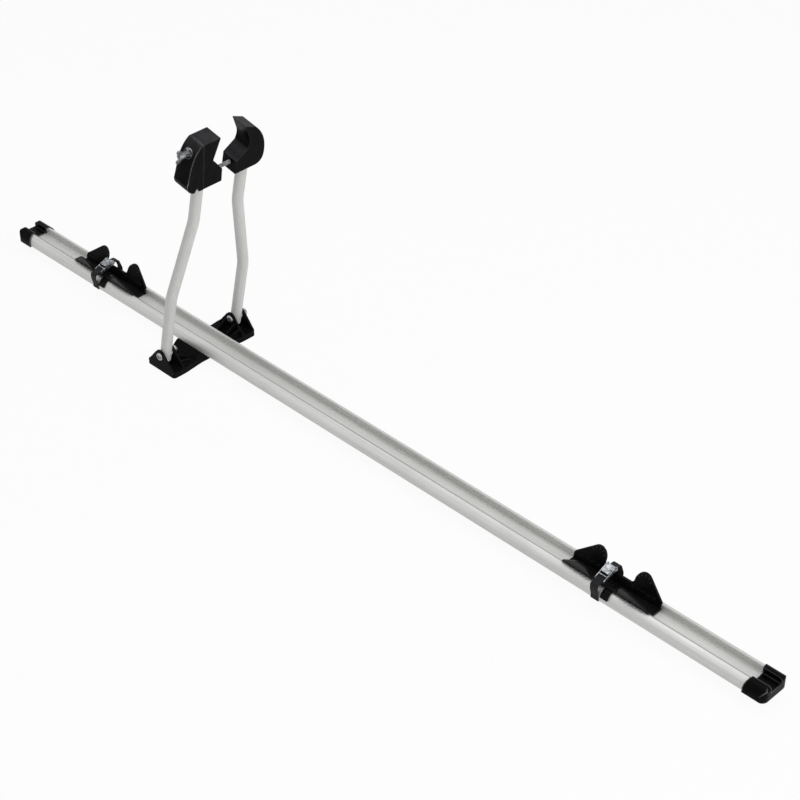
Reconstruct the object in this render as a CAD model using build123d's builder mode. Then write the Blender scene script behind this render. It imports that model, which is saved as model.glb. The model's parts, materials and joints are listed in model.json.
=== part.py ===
"""Roof carrier for one upright bicycle.

A channel rail stands on a moulded foot. Two bent tubes are pivoted in the foot's
ears and carry a clamp for the bicycle's frame. Two wheel trays ride in the rail,
each with a webbing strap and a cam buckle.

Frame: +X along the rail towards its long end, +Y across the carrier, +Z up.
The origin is the centre of the foot's underside.
"""
from build123d import *
import os
from math import cos, radians, sin, sqrt

os.makedirs("parts", exist_ok=True)

# Gaps between pieces
quarter_turn = 90.0  # degrees
overrun = 1.0  # how far a cut runs past the surface that it opens
fit_gap = 0.1  # round a piece that is seated in another
run_gap = 0.05  # radial, a pin or rod in its bearing
move_gap = 0.4  # between faces that move past each other
rail_gap = 0.3  # between the rail and what slides on it

# Rail, an aluminium extrusion
carrier_length = 1500.0
far_reach = 430.0  # foot's centre to the far end of the carrier
rail_width = 48.0
rail_height = 17.0
rail_wall = 1.8
skirt_height = 4.5  # upright side below the rounded shoulder
skirt_radius = 1.5
trough_width = 24.5
trough_depth = 9.0
ridge_land = 1.5
slot_width = 8.5  # mouth of the T-slot in the underside
slot_cavity = 14.0

# End caps
cap_length = 28.0
cap_flank = 33.0  # length along the sides, where the mouth curves back
cap_wall = 1.8
cap_end = 6.5
cap_corner = 10.0
cap_brow = 5.0

# Foot
foot_height = 17.5
foot_plate = 8.0
foot_width = 62.0
foot_waist = 55.0
foot_corner = 5.0
waist_length = 52.0
saddle_ramp = 11.0
tongue_height = 1.4
core_wall = 3.0
core_depth = 5.0
ear_thickness = 3.0
ear_radius = 10.5
ear_base = 56.0
ear_toe = 1.5
rib_thickness = 2.2
rib_rise = 15.0
rib_run = 25.0
rib_shares = ((-0.34, 1.0), (0.31, 1.0), (0.62, 0.6))  # of half the width, of the rise
insert_radius = 3.0  # threaded inserts for the bolts of a roof bar
insert_depth = 12.0
insert_spacing = 42.0

# Arm tubes
lean = 12.4  # degrees, towards the long end of the rail
pivot_height = 26.3
tube_radius = 8.5
tube_wall = 1.5
pivot_side = 70.0  # tube's axis from the middle, at the foot
clamp_side = 41.3  # and at the clamp
lower_bend = 113.6  # height along the arm, from the pivot
bend_rise = 136.2  # from the lower bend to the upper one
bend_radius = 90.0
tube_rise = 31.5  # end of the tube above the jaws' foot
tube_tail = 10.0

# Pivot bolts
pivot_radius = 4.0
pivot_head_radius = 6.3
pivot_head_height = 2.6
bush_wall = 1.5
lock_nut_width = 13.0
lock_nut_height = 6.5
dome_edge = 1.6

# Rail bolts
rail_bolt_radius = 3.0
rail_bolt_head = 13.0
rail_bolt_head_width = 8.0
rail_bolt_head_height = 3.6
rail_bolt_corner = 1.5
rail_bolt_spacing = 18.0
rail_nut_width = 10.0
rail_nut_height = 5.0
bolt_clearance = 0.3

# Clamp jaws, drawn in the plane of the arms: distances from the middle, rises
# above the jaws' foot and drops below their top
jaw_depth = 29.0
jaw_edge = 0.8
jaw_corner = 1.6
jaw_rise = 68.7  # jaws' foot above the upper bend
jaw_height = 82.0
seam_low = 43.0
seam_high = 51.0
seam_gap = 0.3
near_nose = 9.5
near_nose_top = 10.9
near_nose_rise = 22.7
near_throat = 30.0
near_throat_drop = 36.0
near_tip = 20.0
cheek_top = 53.5
cheek_brow = 63.6
cheek_brow_drop = 11.5
cheek_side = 69.3
cheek_side_drop = 26.9
cheek_foot = 74.6
cheek_foot_rise = 17.5
cheek_heel = 71.2
cheek_heel_rise = 8.0
heel = 59.5
notch_width = 8.5
notch_height = 6.5
far_nose = 15.5
far_nose_rise = 22.5
far_floor = 34.5
far_floor_rise = 36.5
far_throat = 37.0
far_throat_rise = 46.5
far_wall = 35.5
far_wall_rise = 56.5
far_tip = 25.0
far_tip_rise = 81.0
far_shoulder = 45.4
far_shoulder_rise = 71.8
far_cheek = 61.3
far_cheek_rise = 50.5
far_belly = 68.0
far_belly_rise = 22.5
far_heel_side = 65.2
far_heel_rise = 6.9
far_heel = 54.0
socket_wall = 1.8  # of the boss that holds the near arm's tube

# Clamp rod and screw
rod_rise = 13.3  # above the jaws' foot
rod_radius = 3.0
rod_reach = 58.5
rod_nut_width = 10.0
rod_nut_height = 5.0
rod_nut_seat = 1.4  # wall between the tube and the nut
screw_drop = 16.5  # below the jaws' top
screw_radius = 4.0
screw_nut_width = 13.0
screw_nut_height = 6.3
screw_nut_sink = 1.6  # of the nut below the seam
screw_travel = 7.0
screw_spare = 1.8
spot_face = 62.5  # distance of the washer's seat from the middle
washer_radius = 7.0
washer_thickness = 1.6
retainer_side = 15.0
retainer_thickness = 2.0
retainer_seat = 44.4
groove_radius = 2.5
screw_tip = 36.0
hub_radius = 5.6
hub_length = 10.0
wing_span = 27.0
wing_thickness = 2.6
wing_flare = 4.0
wing_tip_radius = 4.0

# Wheel trays
far_tray_end = 211.0  # tray's centre from the carrier's end
near_tray_end = 261.0
tray_length = 145.0
tray_wall = 2.6
tray_base = 27.2
petal_height = 25.0
petal_reach = 24.5  # half the width across the petals' rims
petal_place = 38.0
petal_radius = 13.5
petal_centre = 11.5
valley_height = 5.0
valley_radius = 6.0
tray_end_height = 2.2
tray_slot_length = 5.0
tray_slot_height = 1.8
tray_slot_rise = 3.0
tray_slot_pitch = 9.0
tray_slot_count = 5
tray_slot_place = 42.0
lug_width = 12.0
lug_wall = 2.2
lug_gap = 2.5
lug_foot = 9.0

# Strap and cam buckle, whose places are heights above the rail's underside
strap_width = 12.5
strap_thickness = 1.2
strap_bulge = 2.8
strap_high = 26.0
strap_low = 18.0
strap_knee = 7.0
strap_crown = 33.5
strap_crown_side = 19.5
buckle_offset = -7.0  # from the tray's centre
buckle_side = -4.0
buckle_height = 31.3
buckle_tilt = 12.5
buckle_front = 13.5
buckle_back = 14.0
buckle_wall = 1.2
buckle_floor = 1.2
buckle_floor_front = 8.0
buckle_low_wall = 2.6
buckle_high_wall = 5.4
prong_radius = 1.2
web_gap = 0.25  # round the webbing in the buckle
bar_radius = 0.9
bar_place = -5.8
barrel_radius = 2.2
pin_radius = 1.2
pin_place = 11.3
pin_reach = 8.6
lever_gap = 0.3
lever_wall = 1.4
lever_front = -3.2

# Places worked out from the sizes above
rail_start = cap_end - far_reach
rail_length = carrier_length - 2 * cap_end
ridge_inner = trough_width / 2
ridge_outer = ridge_inner + ridge_land
trough_floor = rail_height - trough_depth
ear_outer = pivot_side + tube_radius + bolt_clearance + ear_thickness
ear_inner = pivot_side - tube_radius - bolt_clearance - ear_thickness
upper_bend = lower_bend + bend_rise
jaw_foot = upper_bend + jaw_rise
jaw_top = jaw_foot + jaw_height
tube_top = jaw_foot + tube_rise
rod_height = jaw_foot + rod_rise
screw_height = jaw_top - screw_drop
far_tray_place = far_tray_end - far_reach
near_tray_place = carrier_length - far_reach - near_tray_end
lean_angle = radians(lean)
arm_plane = Plane(
    origin=(0, 0, pivot_height),
    x_dir=(0, 1, 0),
    z_dir=(cos(lean_angle), 0, -sin(lean_angle)),
)
near, far = -1, 1  # sides of the rail
sides = (("near", near), ("far", far))


def save(builder, name):
    """Label a finished piece and write it as its own STEP file."""
    builder.part.label = name
    export_step(builder.part, f"parts/{name}.step")


def hexagon(width):
    """Hexagon with the given width across its upright flats."""
    return RegularPolygon(width / sqrt(3), 6, rotation=30)


def section_plane(place, outward=1):
    """Plane across the rail, its origin on the rail's underside."""
    return Plane(
        origin=(place, 0, foot_height), x_dir=(0, outward, 0), z_dir=(outward, 0, 0)
    )


def side_plane(place):
    """Upright plane along the middle of the rail, seen from the near side."""
    return Plane(origin=(place, 0, foot_height), x_dir=(1, 0, 0), z_dir=(0, -1, 0))


def cross_plane(place, height):
    """Plane square to Y, with +Y as its normal, at a height along the arms."""
    return Plane(
        origin=arm_plane.from_local_coords((place, height, 0)),
        x_dir=arm_plane.z_dir,
        z_dir=(0, 1, 0),
    )


def draw_rail_outline(grow, reach_in, floor):
    """Draw the outer outline of the rail's right half, grown outwards by grow."""
    side = rail_width / 2 + grow
    top = rail_height + grow
    Polyline((0, floor), (0, -grow), (side - skirt_radius, -grow))
    RadiusArc((side - skirt_radius, -grow), (side, skirt_radius - grow), -skirt_radius)
    Line((side, skirt_radius - grow), (side, skirt_height))
    EllipticalCenterArc(
        (ridge_outer, skirt_height),
        side - ridge_outer,
        top - skirt_height,
        arc_size=quarter_turn,
    )
    Polyline((ridge_outer, top), (reach_in, top), (reach_in, floor), (0, floor))


# Rail: two closed chambers under the shoulders, a trough above, a T-slot below
with BuildPart() as rail:
    with BuildSketch(section_plane(rail_start)):
        with BuildLine():
            draw_rail_outline(0, ridge_inner, trough_floor)
        make_face()
        chamber_side = rail_width / 2 - rail_wall
        chamber_top = rail_height - rail_wall
        chamber_inner = ridge_inner + rail_wall
        chamber_step = slot_cavity / 2 + rail_wall
        with BuildLine():
            Polyline(
                (chamber_inner, chamber_top),
                (chamber_inner, trough_floor - rail_wall),
                (chamber_step, trough_floor - rail_wall),
                (chamber_step, rail_wall),
                (chamber_side, rail_wall),
                (chamber_side, skirt_height),
            )
            EllipticalCenterArc(
                (chamber_inner, skirt_height),
                chamber_side - chamber_inner,
                chamber_top - skirt_height,
                arc_size=quarter_turn,
            )
        make_face(mode=Mode.SUBTRACT)
        mirror(about=Plane.YZ)
        with Locations((0, rail_wall)):
            Rectangle(
                slot_cavity,
                trough_floor - 2 * rail_wall,
                align=(Align.CENTER, Align.MIN),
                mode=Mode.SUBTRACT,
            )
        with Locations((0, -overrun)):
            Rectangle(
                slot_width,
                rail_wall + 2 * overrun,
                align=(Align.CENTER, Align.MIN),
                mode=Mode.SUBTRACT,
            )
    extrude(amount=rail_length)
save(rail, "rail")

# End caps: a shell that follows the rail's section, with rounded corners in plan
cap_side = rail_width / 2 + cap_wall
for name, outward, end_place in (
    ("near", 1, carrier_length - far_reach),
    ("far", -1, -far_reach),
):
    with BuildPart() as end_cap:
        with BuildSketch(section_plane(end_place, outward)):
            with BuildLine():
                draw_rail_outline(cap_wall, ridge_inner - cap_wall, trough_floor + cap_wall)
            make_face()
            mirror(about=Plane.YZ)
        extrude(amount=-cap_flank)
        with BuildSketch(
            Plane(
                origin=(end_place, 0, foot_height - cap_wall - overrun),
                x_dir=(outward, 0, 0),
                z_dir=(0, 0, 1),
            )
        ):
            with BuildLine():
                Line((-cap_flank, -cap_side), (-cap_corner, -cap_side))
                RadiusArc((-cap_corner, -cap_side), (0, cap_corner - cap_side), -cap_corner)
                Line((0, cap_corner - cap_side), (0, cap_side - cap_corner))
                RadiusArc((0, cap_side - cap_corner), (-cap_corner, cap_side), -cap_corner)
                Line((-cap_corner, cap_side), (-cap_flank, cap_side))
                ThreePointArc((-cap_flank, cap_side), (-cap_length, 0), (-cap_flank, -cap_side))
            make_face()
        extrude(amount=rail_height + 2 * cap_wall + 2 * overrun, mode=Mode.INTERSECT)
        with BuildSketch(side_plane(end_place)) as cap_profile:
            with Locations((-outward * (cap_flank + overrun) / 2, (rail_height - overrun) / 2)):
                Rectangle(cap_flank + overrun, rail_height + 2 * cap_wall + overrun)
            brow = cap_profile.vertices().sort_by(lambda v: outward * v.X + v.Y)[-1]
            fillet(brow, cap_brow)
        extrude(amount=cap_side + overrun, both=True, mode=Mode.INTERSECT)
        with BuildSketch(section_plane(end_place - outward * cap_end, outward)):
            with BuildLine():
                draw_rail_outline(fit_gap, ridge_inner - fit_gap, trough_floor + fit_gap)
            make_face()
            mirror(about=Plane.YZ)
        extrude(amount=-cap_flank, mode=Mode.SUBTRACT)
    save(end_cap, f"end_cap_{name}")

# Foot, one moulding: plate, saddle for the rail, ears for the arms, ribs
saddle_foot = waist_length / 2 + saddle_ramp
with BuildPart() as foot:
    with BuildSketch():
        with BuildLine():
            Polyline(
                (0, 0),
                (foot_waist / 2, 0),
                (foot_waist / 2, waist_length / 2),
                (foot_width / 2, ear_inner),
                (foot_width / 2, ear_outer),
                (0, ear_outer),
                close=True,
            )
        make_face()
        mirror(about=Plane.YZ)
        mirror(about=Plane.XZ)
    extrude(amount=foot_plate)
    fillet(
        foot.edges().filter_by(Axis.Z).group_by(lambda edge: abs(edge.center().Y))[-1],
        foot_corner,
    )
    with BuildSketch(Plane.YZ):
        Polygon(
            (-saddle_foot, foot_plate),
            (saddle_foot, foot_plate),
            (waist_length / 2, foot_height),
            (-waist_length / 2, foot_height),
            align=None,
        )
    extrude(amount=foot_waist / 2, both=True)
    with BuildSketch(Plane.XY.offset(foot_height)):
        Rectangle(foot_waist, slot_width - 2 * rail_gap)
    extrude(amount=tongue_height)
    for side in (near, far):
        for ear_face in (ear_inner, ear_outer - ear_thickness):
            with BuildSketch(Plane.XZ.offset(-side * ear_face)):
                with Locations((0, pivot_height)):
                    Circle(ear_radius)
                with Locations((0, foot_plate)):
                    Rectangle(ear_base, ear_toe)
                make_hull()
            extrude(amount=-side * ear_thickness)
        for place_share, rise_share in rib_shares:
            with BuildSketch(Plane.YZ.offset(place_share * foot_width / 2)):
                Polygon(
                    (side * ear_inner, foot_plate),
                    (side * ear_inner, foot_plate + rise_share * rib_rise),
                    (side * (ear_inner - rib_run), foot_plate),
                    align=None,
                )
            extrude(amount=rib_thickness / 2, both=True)
    with BuildSketch(Plane.XZ):
        with Locations((0, pivot_height)):
            Circle(pivot_radius + fit_gap)
    extrude(amount=ear_outer + overrun, both=True, mode=Mode.SUBTRACT)

    # Hollows in the underside leave a middle rib, and a solid pad under the saddle
    hollow_width = (foot_waist - 3 * core_wall) / 2
    inner_hollow = ear_inner - saddle_foot - core_wall
    with BuildSketch():
        with GridLocations(hollow_width + core_wall, saddle_foot + ear_inner, 2, 2):
            Rectangle(hollow_width, inner_hollow)
        with GridLocations(hollow_width + core_wall, 2 * pivot_side, 2, 2):
            Rectangle(hollow_width, 2 * tube_radius)
    extrude(amount=core_depth, mode=Mode.SUBTRACT)
    nut_roof = rail_nut_height + 2 * overrun
    with BuildSketch():
        with GridLocations(rail_bolt_spacing, 0, 2, 1):
            hexagon(rail_nut_width + 2 * fit_gap)
    extrude(amount=nut_roof, mode=Mode.SUBTRACT)
    with BuildSketch():
        with GridLocations(rail_bolt_spacing, 0, 2, 1):
            Circle(rail_bolt_radius + bolt_clearance)
    extrude(amount=foot_height + tongue_height + overrun, mode=Mode.SUBTRACT)
    with BuildSketch():
        with GridLocations(insert_spacing, 0, 2, 1):
            Circle(insert_radius)
    extrude(amount=insert_depth, mode=Mode.SUBTRACT)
save(foot, "foot")

# T-head bolts in the rail's slot, and their nuts under the saddle
bolt_seat = foot_height + rail_wall
with BuildPart() as rail_bolts:
    with BuildSketch(Plane.XY.offset(bolt_seat)):
        with GridLocations(rail_bolt_spacing, 0, 2, 1):
            RectangleRounded(rail_bolt_head_width, rail_bolt_head, rail_bolt_corner)
    extrude(amount=rail_bolt_head_height)
    with BuildSketch(Plane.XY.offset(bolt_seat)):
        with GridLocations(rail_bolt_spacing, 0, 2, 1):
            Circle(rail_bolt_radius)
    extrude(amount=overrun - bolt_seat)
save(rail_bolts, "rail_bolts")

with BuildPart() as rail_nuts:
    with BuildSketch(Plane.XY.offset(nut_roof)):
        with GridLocations(rail_bolt_spacing, 0, 2, 1):
            hexagon(rail_nut_width)
            Circle(rail_bolt_radius + run_gap, mode=Mode.SUBTRACT)
    extrude(amount=-rail_nut_height)
save(rail_nuts, "rail_nuts")

# Arms with their bushes, bolts and lock nuts. Both bolts point away from the near
# side, so the near head is outside its ears and the far head is inside.
pivot_grip = ear_outer - ear_inner
bush_radius = pivot_radius + run_gap + bush_wall
for name, side in sides:
    head_place = min(side * ear_inner, side * ear_outer)
    head_plane = Plane(origin=(0, head_place, pivot_height), z_dir=(0, -1, 0))
    with BuildPart() as pivot_bolt:
        with BuildSketch(head_plane):
            Circle(pivot_head_radius)
        extrude(amount=pivot_head_height)
        fillet(pivot_bolt.edges().sort_by(Axis.Y)[0], dome_edge)
        with BuildSketch(head_plane):
            Circle(pivot_radius)
        extrude(amount=-pivot_grip - lock_nut_height)
    save(pivot_bolt, f"pivot_bolt_{name}")

    with BuildPart() as pivot_nut:
        with BuildSketch(head_plane.offset(-pivot_grip)):
            hexagon(lock_nut_width)
            Circle(pivot_radius + run_gap, mode=Mode.SUBTRACT)
        extrude(amount=-lock_nut_height)
    save(pivot_nut, f"pivot_nut_{name}")

    with BuildPart() as pivot_bush:
        with BuildSketch(Plane(origin=(0, side * pivot_side, pivot_height), z_dir=(0, 1, 0))):
            Circle(bush_radius)
            Circle(pivot_radius + run_gap, mode=Mode.SUBTRACT)
        extrude(amount=tube_radius + bolt_clearance / 2, both=True)
    save(pivot_bush, f"pivot_bush_{name}")

    with BuildPart() as arm:
        with BuildLine(arm_plane) as arm_route:
            FilletPolyline(
                (side * pivot_side, -tube_tail),
                (side * pivot_side, lower_bend),
                (side * clamp_side, upper_bend),
                (side * clamp_side, tube_top),
                radius=bend_radius,
            )
        with BuildSketch(Plane(origin=arm_route.line @ 0, z_dir=arm_route.line % 0)):
            Circle(tube_radius)
            Circle(tube_radius - tube_wall, mode=Mode.SUBTRACT)
        sweep(path=arm_route.line)
        with BuildSketch(Plane(origin=(0, side * pivot_side, pivot_height), z_dir=(0, 1, 0))):
            Circle(bush_radius + run_gap)
        extrude(amount=tube_radius + overrun, both=True, mode=Mode.SUBTRACT)
        with BuildSketch(cross_plane(side * clamp_side, rod_height)):
            Circle(rod_radius + fit_gap)
        extrude(amount=tube_radius + overrun, both=True, mode=Mode.SUBTRACT)
    save(arm, f"arm_{name}")

# Clamp housing, on the near arm: cheek, socket for the tube, seats for both nuts
nut_seat = clamp_side + tube_radius + fit_gap + rod_nut_seat
socket_radius = tube_radius + fit_gap + socket_wall
seam_slope = (seam_high - seam_low) / (jaw_top - jaw_foot)
screw_seam = seam_low + seam_slope * (screw_height - jaw_foot)
screw_nut_seat = screw_seam + screw_nut_sink + screw_nut_height
tube_room = tube_top + fit_gap


def across(place, height):
    """Sketch plane for holes along Y, as a context of its own."""
    return BuildSketch(cross_plane(place, height))


with BuildPart() as clamp_housing:
    with BuildSketch(arm_plane):
        with BuildLine():
            Line((-seam_low - seam_gap, jaw_foot), (-seam_high - seam_gap, jaw_top))
            Line((-seam_high - seam_gap, jaw_top), (-cheek_top, jaw_top))
            Spline(
                (-cheek_top, jaw_top),
                (-cheek_brow, jaw_top - cheek_brow_drop),
                (-cheek_side, jaw_top - cheek_side_drop),
                (-cheek_foot, jaw_foot + cheek_foot_rise),
            )
            ThreePointArc(
                (-cheek_foot, jaw_foot + cheek_foot_rise),
                (-cheek_heel, jaw_foot + cheek_heel_rise),
                (-heel, jaw_foot),
            )
            Polyline(
                (-heel, jaw_foot),
                (-heel + notch_width / 2, jaw_foot + notch_height),
                (-heel + notch_width, jaw_foot),
                (-seam_low - seam_gap, jaw_foot),
            )
        make_face()
    extrude(amount=jaw_depth / 2, both=True)
    seam_face = clamp_housing.faces().sort_by(Axis.Y)[-1]
    rims = clamp_housing.faces().filter_by(arm_plane).edges() - seam_face.edges()
    fillet(rims, jaw_edge)
    socket_plane = Plane(
        origin=arm_plane.from_local_coords((-clamp_side, jaw_foot, 0)),
        x_dir=(0, 1, 0),
        z_dir=arm_plane.y_dir,
    )
    with BuildSketch(socket_plane):
        Circle(socket_radius)
    extrude(amount=tube_room + socket_wall - jaw_foot)
    with BuildSketch(socket_plane.offset(-overrun)):
        Circle(tube_radius + fit_gap)
    extrude(amount=tube_room - jaw_foot + overrun, mode=Mode.SUBTRACT)
    with across(-nut_seat, rod_height):
        Rectangle(
            rod_nut_width + 2 * fit_gap,
            rod_height - jaw_foot + overrun,
            align=(Align.CENTER, Align.MIN),
        )
        hexagon(rod_nut_width + 2 * fit_gap)
    extrude(amount=-rod_nut_height - fit_gap, mode=Mode.SUBTRACT)
    with across(-rod_reach - fit_gap, rod_height):
        Circle(rod_radius + fit_gap)
    extrude(amount=rod_reach, mode=Mode.SUBTRACT)
    with across(-spot_face, screw_height):
        Circle(washer_radius + move_gap)
    extrude(amount=-spot_face, mode=Mode.SUBTRACT)
    with across(-spot_face, screw_height):
        Circle(screw_radius + bolt_clearance)
    extrude(amount=spot_face, mode=Mode.SUBTRACT)
    with across(-screw_nut_seat, screw_height):
        hexagon(screw_nut_width + 2 * fit_gap)
    extrude(amount=screw_nut_seat, mode=Mode.SUBTRACT)
save(clamp_housing, "clamp_housing")

# Clamp jaw, which slides on the rod: pocket over the socket, recess for the retainer
with BuildPart() as clamp_jaw:
    with BuildSketch(arm_plane):
        with BuildLine():
            Polyline(
                (-seam_low, jaw_foot),
                (-seam_high, jaw_top),
                (-near_tip, jaw_top),
                (-near_throat, jaw_top - near_throat_drop),
                (-near_nose_top, jaw_foot + near_nose_rise),
                (-near_nose, jaw_foot),
                close=True,
            )
        outline = make_face()
        fillet(outline.vertices().sort_by(Axis.X)[2:], jaw_corner)
    extrude(amount=jaw_depth / 2, both=True)
    seam_face = clamp_jaw.faces().sort_by(Axis.Y)[0]
    rims = clamp_jaw.faces().filter_by(arm_plane).edges() - seam_face.edges()
    fillet(rims, jaw_edge)
    pocket_radius = socket_radius + move_gap
    with BuildSketch(socket_plane.offset(-overrun)):
        Circle(pocket_radius)
        Rectangle(
            clamp_side, 2 * pocket_radius, align=(Align.MAX, Align.CENTER)
        )
    extrude(
        amount=tube_room + socket_wall + move_gap - jaw_foot + overrun,
        mode=Mode.SUBTRACT,
    )
    with across(-clamp_side, rod_height):
        Circle(rod_radius + move_gap)
    extrude(amount=clamp_side, mode=Mode.SUBTRACT)
    with across(-retainer_seat, screw_height):
        Rectangle(retainer_side + 2 * fit_gap, retainer_side + 2 * fit_gap)
    extrude(amount=-retainer_seat, mode=Mode.SUBTRACT)
    with across(-screw_tip + move_gap, screw_height):
        Circle(screw_radius + bolt_clearance)
    extrude(amount=-retainer_seat, mode=Mode.SUBTRACT)
save(clamp_jaw, "clamp_jaw")

# Far jaw, a fixed hook on the far arm
with BuildPart() as far_jaw:
    with BuildSketch(arm_plane):
        with BuildLine():
            Polyline(
                (far_heel, jaw_foot),
                (far_nose, jaw_foot),
                (far_nose, jaw_foot + far_nose_rise),
                (far_floor, jaw_foot + far_floor_rise),
            )
            ThreePointArc(
                (far_floor, jaw_foot + far_floor_rise),
                (far_throat, jaw_foot + far_throat_rise),
                (far_wall, jaw_foot + far_wall_rise),
            )
            Polyline(
                (far_wall, jaw_foot + far_wall_rise),
                (far_tip, jaw_foot + far_tip_rise),
                (far_shoulder, jaw_foot + far_shoulder_rise),
            )
            Spline(
                (far_shoulder, jaw_foot + far_shoulder_rise),
                (far_cheek, jaw_foot + far_cheek_rise),
                (far_belly, jaw_foot + far_belly_rise),
                (far_heel_side, jaw_foot + far_heel_rise),
                (far_heel, jaw_foot),
            )
        make_face()
    extrude(amount=jaw_depth / 2, both=True)
    fillet(far_jaw.faces().filter_by(arm_plane).edges(), jaw_edge)
    with BuildSketch(
        Plane(
            origin=arm_plane.from_local_coords((clamp_side, jaw_foot - overrun, 0)),
            x_dir=(0, 1, 0),
            z_dir=arm_plane.y_dir,
        )
    ):
        Circle(tube_radius + fit_gap)
    extrude(amount=tube_room - jaw_foot + overrun, mode=Mode.SUBTRACT)
    with across(nut_seat, rod_height):
        Rectangle(
            rod_nut_width + 2 * fit_gap,
            rod_height - jaw_foot + overrun,
            align=(Align.CENTER, Align.MIN),
        )
        hexagon(rod_nut_width + 2 * fit_gap)
    extrude(amount=rod_nut_height + fit_gap, mode=Mode.SUBTRACT)
    with across(rod_reach + fit_gap, rod_height):
        Circle(rod_radius + fit_gap)
    extrude(amount=-rod_reach, mode=Mode.SUBTRACT)
save(far_jaw, "far_jaw")

# Tie rod through both tubes, and its nuts
with BuildPart() as tie_rod:
    with across(0, rod_height):
        Circle(rod_radius)
    extrude(amount=rod_reach, both=True)
save(tie_rod, "tie_rod")

with BuildPart() as rod_nuts:
    for side in (near, far):
        with across(side * nut_seat, rod_height):
            hexagon(rod_nut_width)
            Circle(rod_radius + run_gap, mode=Mode.SUBTRACT)
        extrude(amount=side * rod_nut_height)
save(rod_nuts, "rod_nuts")

# Wing screw, the nut and washer that it runs in, and the plate that holds its tip
hub_face = spot_face + washer_thickness + screw_spare + screw_travel
with BuildPart() as screw_nut:
    with across(-screw_nut_seat, screw_height):
        hexagon(screw_nut_width)
        Circle(screw_radius + run_gap, mode=Mode.SUBTRACT)
    extrude(amount=screw_nut_height)
save(screw_nut, "screw_nut")

with BuildPart() as screw_washer:
    with across(-spot_face, screw_height):
        Circle(washer_radius)
        Circle(screw_radius + bolt_clearance, mode=Mode.SUBTRACT)
    extrude(amount=-washer_thickness)
save(screw_washer, "screw_washer")

with BuildPart() as retainer_plate:
    with across(-retainer_seat, screw_height):
        Rectangle(retainer_side, retainer_side)
        Circle(groove_radius + fit_gap, mode=Mode.SUBTRACT)
        Rectangle(
            2 * (groove_radius + fit_gap),
            retainer_side,
            align=(Align.CENTER, Align.MIN),
            mode=Mode.SUBTRACT,
        )
    extrude(amount=-retainer_thickness)
save(retainer_plate, "retainer_plate")

with BuildPart() as wing_screw:
    with across(-screw_tip, screw_height):
        Circle(screw_radius)
    extrude(amount=screw_tip + fit_gap - retainer_seat)
    with across(-screw_tip, screw_height):
        Circle(groove_radius)
    extrude(amount=screw_tip - hub_face)
    with across(-hub_face, screw_height):
        Circle(screw_radius)
    extrude(amount=hub_face - retainer_seat - retainer_thickness - fit_gap)
    with across(-hub_face, screw_height):
        Circle(hub_radius)
    extrude(amount=-hub_length)
    wing_rise = wing_span / 2 - wing_tip_radius
    wing_root = hub_face + hub_length
    for way in (-1, 1):
        with BuildSketch(arm_plane):
            with Locations((-hub_face - hub_length / 2, screw_height)):
                Rectangle(hub_length, hub_radius)
            with Locations(
                (-wing_root - wing_flare + wing_tip_radius, screw_height + way * wing_rise)
            ):
                Circle(wing_tip_radius)
            make_hull()
        extrude(amount=wing_thickness / 2, both=True)
save(wing_screw, "wing_screw")

# Wheel trays, with straps and cam buckles
tray_seat = rail_height + rail_gap
tray_keel = trough_floor + rail_gap
keel_side = ridge_inner - rail_gap
petal_slope = (petal_reach - tray_base / 2) / petal_height
petal_wall = tray_wall * sqrt(1 + petal_slope**2)
keel_wall = keel_side - tray_wall
petal_root = tray_seat - (tray_base / 2 - petal_wall - keel_wall) / petal_slope
strap_side = rail_width / 2 + rail_gap + strap_thickness / 2
strap_under = -rail_gap - strap_thickness / 2
tilt = radians(buckle_tilt)
pin_height = strap_thickness / 2 + web_gap + barrel_radius
bar_height = strap_thickness / 2 + web_gap + bar_radius
floor_top = -strap_thickness / 2 - web_gap
buckle_inner = strap_width / 2 + web_gap
buckle_outer = buckle_inner + buckle_wall

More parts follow.
